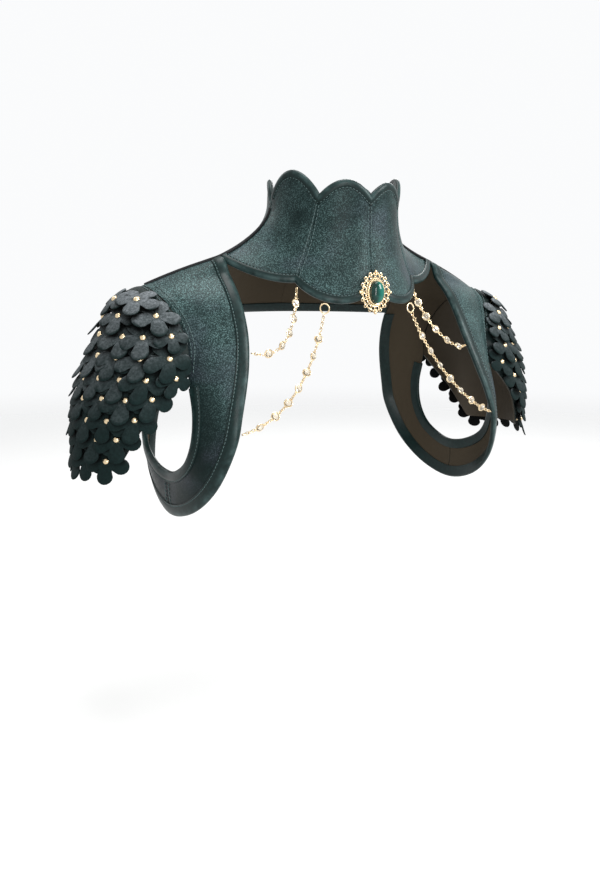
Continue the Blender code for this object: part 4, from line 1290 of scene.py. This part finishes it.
def build_caps(sizes, stitches):
    """The shoulder caps: a leather shell, its flowers like scales, and their studs."""
    rows = []
    for step in range(46):
        fall = step / 45
        row = []
        for share in np.linspace(-1, 1, 61):
            turn = CORNER_TURN * share
            foot = cap_foot(turn) - 9 * MM * min(1, (CORNER_TURN - abs(turn)) / 30)
            distance = 0.4 * MM + (foot - 0.4 * MM) * fall
            row.append(cap_point(turn * seam_turn(distance) / CORNER_TURN, distance, -MM))
        rows.append(row)
    rows = np.array(rows)
    for name, side in SIDES:
        shell = Body()
        normals = shell.sheet(rows, MM, (1, 0, 0))
        shell.mirrored(side).make(f"{name}_cap_shell", finish_of("ground"), (f"{name}_flower_cap",),
                                  "green_suede")
        chance = random.Random(sizes.seed + (side > 0))
        flowers, studs = Body(), Body()
        for site in flower_sites():
            add_flower(flowers, studs, site, sizes, chance)
        # Painted shade for the parts that the flowers above hide.
        hollow = flowers.baked_shade(SHOULDER_HALF_WIDTH)
        flowers.mirrored(side).make(f"{name}_flowers", finish_of("suede"), (), "green_suede",
                                    hollow=hollow)
        studs.mirrored(side).make(f"{name}_studs", finish_of("stud"), (), "pale_gold")
        for from_end in (False, True):
            path, facing = line_in(rows, normals, SHELL_STITCH_INSET, from_end)
            keep = slice(2, 30)
            stitches.mirror_run((path + facing * 0.0012)[keep], facing[keep], side)


def strand_path(strand):
    """A line of points from the collar's hem to the side's inner edge, sagging over the chest."""
    hem = gore_point(strand["gore"], strand["across"], 1.0)
    up = (gore_point(strand["gore"], strand["across"], 0.9) - hem).normalized()
    start = hem - up * STRAND_SETBACK
    edge = side_point(strand["row"], 0)
    into = (side_point(strand["row"], 0.2) - edge).normalized()
    end = edge - into * STRAND_SETBACK
    points = []
    for share in np.linspace(0, 1, 80):
        point = start.lerp(end, float(share))
        early = share**0.75
        point.z -= strand["sag"] * 4 * early * (1 - early)
        point.y -= strand["bulge"] * 4 * share * (1 - share)
        points.append(point)
    return np.array(points)


def along_path(path, distance):
    """Point and direction at a distance along a path."""
    reach = reach_along(path)

    def at(place):
        return Vector([float(np.interp(place, reach, path[:, axis])) for axis in range(3)])

    return at(distance), (at(distance + MM) - at(distance - MM)).normalized()


def add_link(metal, path, distance, roll, sizes, half=1.75 * MM):
    point, ahead = along_path(path, distance)
    side = ahead.cross(Vector((0, -1, 0))).normalized()
    other = ahead.cross(side)
    across = side * math.cos(roll) + other * math.sin(roll)
    metal.ring(point, across, ahead, half * 0.62, 1 / 0.62, sizes.link_wire, 12, 5)


def add_bead(metal, glass, path, distance, sizes, chance):
    """A cut glass bead in its gold rim, with a loop at either end."""
    point, ahead = along_path(path, distance)
    front = Vector((0.15, -1, 0.1))
    front = (front - ahead * front.dot(ahead)).normalized()
    turn = chance.uniform(-0.55, 0.55)
    side = ahead.cross(front)
    front = front * math.cos(turn) + side * math.sin(turn)
    side = ahead.cross(front).normalized()
    radius = sizes.bead_radius
    metal.ring(point, side, ahead, radius * 1.08, 1.0, BEAD_RIM_WIRE, 22, 6)
    for way in (-1, 1):
        loop = point + ahead * way * radius * 1.38
        metal.ring(loop, side, ahead, radius * 0.3, 1.0, sizes.link_wire, 10, 5)
    rings = []
    for share, rise in ((0.02, 0.52), (0.52, 0.50), (0.82, 0.34), (1.0, 0.09), (1.0, -0.09),
                        (0.82, -0.34), (0.52, -0.50), (0.02, -0.52)):
        offset = 0.5 if share == 0.82 else 0.0
        rings.append([
            point + front * rise * radius * 1.25
            + (side * math.cos(t) + ahead * math.sin(t)) * radius * share
            for t in (2 * math.pi * (step + offset) / 10 for step in range(10))
        ])
    glass.closed(rings)


def build_strands(sizes):
    """The bead strands from the collar's hem to the sides' inner edges."""
    for strand in STRANDS:
        path = strand_path(strand)
        whole = float(reach_along(path)[-1])
        count = round(whole / BEAD_PITCH) - 1
        pitch = whole / (count + 1)
        for name, side in SIDES:
            chance = random.Random(count + (side > 0))
            metal, glass = Body(), Body()
            beads = [pitch * bead for bead in range(2 if strand["ring"] else 1, count + 1)]
            for distance in beads:
                add_bead(metal, glass, path, distance, sizes, chance)
            lengths = [0.0] + beads + [whole]
            reach = sizes.bead_radius * 1.6
            for index, (low, high) in enumerate(zip(lengths, lengths[1:])):
                low += reach if index else (8.6 * MM if strand["ring"] else 0.8 * MM)
                high -= reach if index < len(lengths) - 2 else 0.6 * MM
                links = max(1, round((high - low) / LINK_PITCH))
                step = (high - low) / links
                for link in range(links):
                    roll = math.pi / 2 * (link % 2) + 0.3
                    add_link(metal, path, low + step * (link + 0.5), roll, sizes,
                             half=step / 2 + sizes.link_wire * 1.6)
            if strand["ring"]:
                point, ahead = along_path(path, 4.4 * MM)
                side_way = ahead.cross(Vector((0.2, -1, 0))).normalized()
                metal.ring(point, side_way, ahead, STRAND_RING_RADIUS, 1.0, STRAND_RING_WIRE, 30, 8)
            metal.mirrored(side).make(f"{name}_{strand['name']}_chain", finish_of("gold"),
                                      (f"{name}_{strand['name']}_strand",), "pale_gold")
            glass.mirrored(side).make(f"{name}_{strand['name']}_beads", finish_of("glass"), (),
                                      "champagne_glass", sharp=12)


def build_brooch(sizes):
    """The openwork brooch and its cabochon."""
    low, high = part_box("brooch_setting")
    back, middle = high.y, BROOCH_CENTRE_HEIGHT

    def place(x, y, z):
        return Vector((x * MM, back - z * MM, middle + y * MM))

    metal = Body()
    right, up, front = Vector((1, 0, 0)), Vector((0, 0, 1)), (0, -1, 0)
    wire = sizes.filigree_wire
    for half_x, half_y, depth, radius in ((7.5, 10.0, 1.9, 0.8 * MM), (9.5, 11.9, 1.0, wire * 0.9),
                                          (13.3, 15.1, 0.8, wire)):
        metal.ring(place(0, 0, depth), right, up, half_x * MM, half_y / half_x, radius, 60, 8)
    for step in range(40):
        t = 2 * math.pi * step / 40
        metal.ball(place(8.6 * math.cos(t), 11.1 * math.sin(t), 1.75), 0.55 * MM, 1, front, 7, 4)
    for step in range(16):
        t = 2 * math.pi * (step + 0.5) / 16
        metal.ring(place(11.5 * math.cos(t), 13.6 * math.sin(t), 1.0), right, up, 1.65 * MM, 1.1,
                   wire * 0.75, 14, 6)
        metal.ball(place(13.3 * math.cos(t), 15.2 * math.sin(t), 1.5), 0.75 * MM, 1, front, 8, 5)
        t = 2 * math.pi * step / 16
        eye = place(14.2 * math.cos(t), 16.0 * math.sin(t), 0.9)
        metal.ring(eye, right, up, 1.25 * MM, 1.0, wire * 0.8, 14, 6)
        metal.ball(place(12.9 * math.cos(t), 14.8 * math.sin(t), 1.5), 0.6 * MM, 1, front, 7, 4)
    for x, y in ((1, 0), (0, 1), (-1, 0), (0, -1)):
        metal.ball(place(15.6 * x, 17.2 * y, 1.2), 1.35 * MM, 1, front, 14, 9)
        for lean in (-1, 1):
            beside = place(14.0 * x + 2.0 * lean * y, 15.7 * y + 2.0 * lean * x, 1.3)
            metal.ball(beside, 0.85 * MM, 1, front, 8, 5)
    metal.make("brooch_filigree", finish_of("gold"), ("brooch_setting",), "pale_gold")
    stone = Body()
    low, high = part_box("brooch_cabochon")
    seat = high.y
    half_x, half_y = (high.x - low.x) / 2, (high.z - low.z) / 2
    rings = []
    for rise in (*np.linspace(-0.12, 0, 2), *np.linspace(0.06, 0.995, 16)):
        share = math.sqrt(max(0.0, 1 - max(0, rise) ** 2.2)) if rise > 0 else 1.0
        rings.append([
            Vector((half_x * share * math.cos(t), seat - 0.0008 - sizes.stone_dome * 0.86 * rise,
                    middle + half_y * share * math.sin(t)))
            for t in np.linspace(0, 2 * math.pi, 56, endpoint=False)
        ])
    stone.closed(rings)
    stone.make("brooch_stone", finish_of("stone"), ("brooch_cabochon",), "green_stone")


def build_stage():
    """A pale sweep of paper, soft lights and the camera at the photograph's angle."""
    scene = bpy.context.scene
    scene.view_settings.view_transform = "Standard"
    floor = CAD_BOX[0][2] - FLOOR_DROP
    turns = np.linspace(0, 2 * math.pi, 48, endpoint=False)
    body = Body()
    first, count, width = body.grid(
        [[(reach * math.cos(t), reach * math.sin(t), 0) for t in turns]
         for reach in (2.7, 1.5, 0.6, 0.2)], wrap=True)
    body.cap_end(first + (count - 1) * width, width)
    mesh = bpy.data.meshes.new("paper_floor")
    mesh.from_pydata(body.points, [], body.faces)
    mesh.materials.append(finish_of("stage"))
    paper = bpy.data.objects.new("paper_floor", mesh)
    paper.location.z = floor
    scene.collection.objects.link(paper)
    world = bpy.data.worlds.new("studio")
    scene.world = world
    world.use_nodes = True
    world.node_tree.nodes["Background"].inputs["Color"].default_value = (0.985, 0.992, 1.0, 1)
    world.node_tree.nodes["Background"].inputs["Strength"].default_value = 0.975
    for name, place, width, height, power in LAMPS:
        lamp = bpy.data.lights.new(name, "AREA")
        lamp.shape, lamp.size, lamp.size_y, lamp.energy = "RECTANGLE", width, height, power
        holder = bpy.data.objects.new(name, lamp)
        holder.location = place
        holder.visible_camera = False
        aim = Vector((0, 0, -0.03)) - Vector(place)
        holder.rotation_euler = aim.to_track_quat("-Z", "Y").to_euler()
        scene.collection.objects.link(holder)
    yaw, pitch = math.radians(CAMERA_YAW), math.radians(CAMERA_PITCH)
    level = math.cos(pitch)
    back = Vector((math.sin(yaw) * level, -math.cos(yaw) * level, math.sin(pitch)))
    right = Vector((math.cos(yaw), math.sin(yaw), 0))
    up = back.cross(right)
    aim = right * CAMERA_SIDEWAYS + Vector((0, 0, CAMERA_HEIGHT))
    place = aim + back * CAMERA_DISTANCE
    lens = bpy.data.cameras.new("photo_camera")
    lens.sensor_width = SENSOR
    lens.sensor_fit = "AUTO"
    lens.lens = FOCAL_PIXELS / PHOTO_HEIGHT * SENSOR
    camera = bpy.data.objects.new("photo_camera", lens)
    camera.matrix_world = Matrix((
        (right.x, up.x, back.x, place.x),
        (right.y, up.y, back.y, place.y),
        (right.z, up.z, back.z, place.z),
        (0, 0, 0, 1),
    ))
    scene.collection.objects.link(camera)
    scene.camera = camera


def thread_rows(context):
    """The rows of stitches that every leather piece adds to."""
    if "stitches" not in WORK:
        WORK["stitches"] = Stitches(context.scene.pauldron_leather)
    return WORK["stitches"]


class PAULDRON_OT_collar(Operator):
    """Build the collar's gores and bindings."""

    bl_idname = "pauldron.collar"
    bl_label = "Collar"

    def execute(self, context):
        build_gores(context.scene.pauldron_leather, thread_rows(context))
        build_collar_bindings(thread_rows(context))
        return {"FINISHED"}


class PAULDRON_OT_sides(Operator):
    """Build the shoulder sides with their bindings."""

    bl_idname = "pauldron.sides"
    bl_label = "Shoulder Sides"

    def execute(self, context):
        build_sides(context.scene.pauldron_leather, thread_rows(context))
        return {"FINISHED"}


class PAULDRON_OT_yoke(Operator):
    """Build the back yokes and the strip over the closure."""

    bl_idname = "pauldron.yoke"
    bl_label = "Back Yoke"

    def execute(self, context):
        build_yoke(context.scene.pauldron_leather, thread_rows(context))
        return {"FINISHED"}


class PAULDRON_OT_piping(Operator):
    """Lay the black piping down the side seams and along the ridges."""

    bl_idname = "pauldron.piping"
    bl_label = "Piping"

    def execute(self, context):
        build_piping(context.scene.pauldron_leather)
        return {"FINISHED"}


class PAULDRON_OT_caps(Operator):
    """Build the shoulder caps with their flowers and studs."""

    bl_idname = "pauldron.caps"
    bl_label = "Flower Caps"

    def execute(self, context):
        build_caps(context.scene.pauldron_flowers, thread_rows(context))
        return {"FINISHED"}


class PAULDRON_OT_strands(Operator):
    """Hang the bead strands."""

    bl_idname = "pauldron.strands"
    bl_label = "Bead Strands"

    def execute(self, context):
        build_strands(context.scene.pauldron_trim)
        return {"FINISHED"}


class PAULDRON_OT_brooch(Operator):
    """Build the brooch and its stone."""

    bl_idname = "pauldron.brooch"
    bl_label = "Brooch"

    def execute(self, context):
        build_brooch(context.scene.pauldron_trim)
        return {"FINISHED"}


class PAULDRON_OT_stitches(Operator):
    """Sew every seam and binding that is already built."""

    bl_idname = "pauldron.stitches"
    bl_label = "Stitches"

    def execute(self, context):
        if "stitches" not in WORK:
            raise RuntimeError("Build the leather pieces before their stitches.")
        WORK["stitches"].body.make("seam_stitches", finish_of("thread"), (), "green_binding",
                                   sharp=80)
        return {"FINISHED"}


class PAULDRON_OT_stage(Operator):
    """Set up the floor, the lights and the camera."""

    bl_idname = "pauldron.stage"
    bl_label = "Stage"

    def execute(self, context):
        build_stage()
        return {"FINISHED"}


class VIEW3D_PT_pauldron(Panel):
    """Lists the pauldron's pieces in the sidebar."""

    bl_label = "Pauldron"
    bl_space_type = "VIEW_3D"
    bl_region_type = "UI"
    bl_category = "Pauldron"

    def draw(self, context):
        for operator in OPERATORS:
            self.layout.operator(operator.bl_idname)


GROUPS = (
    ("pauldron_leather", LeatherSizes),
    ("pauldron_flowers", FlowerSizes),
    ("pauldron_trim", TrimSizes),
    ("pauldron_colours", PauldronColours),
)
OPERATORS = (
    PAULDRON_OT_collar,
    PAULDRON_OT_sides,
    PAULDRON_OT_yoke,
    PAULDRON_OT_piping,
    PAULDRON_OT_caps,
    PAULDRON_OT_strands,
    PAULDRON_OT_brooch,
    PAULDRON_OT_stitches,
    PAULDRON_OT_stage,
)


def register():
    for name, group in GROUPS:
        bpy.utils.register_class(group)
        setattr(bpy.types.Scene, name, PointerProperty(type=group))
    for operator in OPERATORS:
        bpy.utils.register_class(operator)
    bpy.utils.register_class(VIEW3D_PT_pauldron)


def unregister():
    bpy.utils.unregister_class(VIEW3D_PT_pauldron)
    for operator in reversed(OPERATORS):
        bpy.utils.unregister_class(operator)
    for name, group in reversed(GROUPS):
        delattr(bpy.types.Scene, name)
        bpy.utils.unregister_class(group)


def main():
    register()
    bpy.ops.pauldron.collar()
    bpy.ops.pauldron.sides()
    bpy.ops.pauldron.yoke()
    bpy.ops.pauldron.piping()
    bpy.ops.pauldron.caps()
    bpy.ops.pauldron.strands()
    bpy.ops.pauldron.brooch()
    bpy.ops.pauldron.stitches()
    bpy.ops.pauldron.stage()


if __name__ == "__main__":
    main()
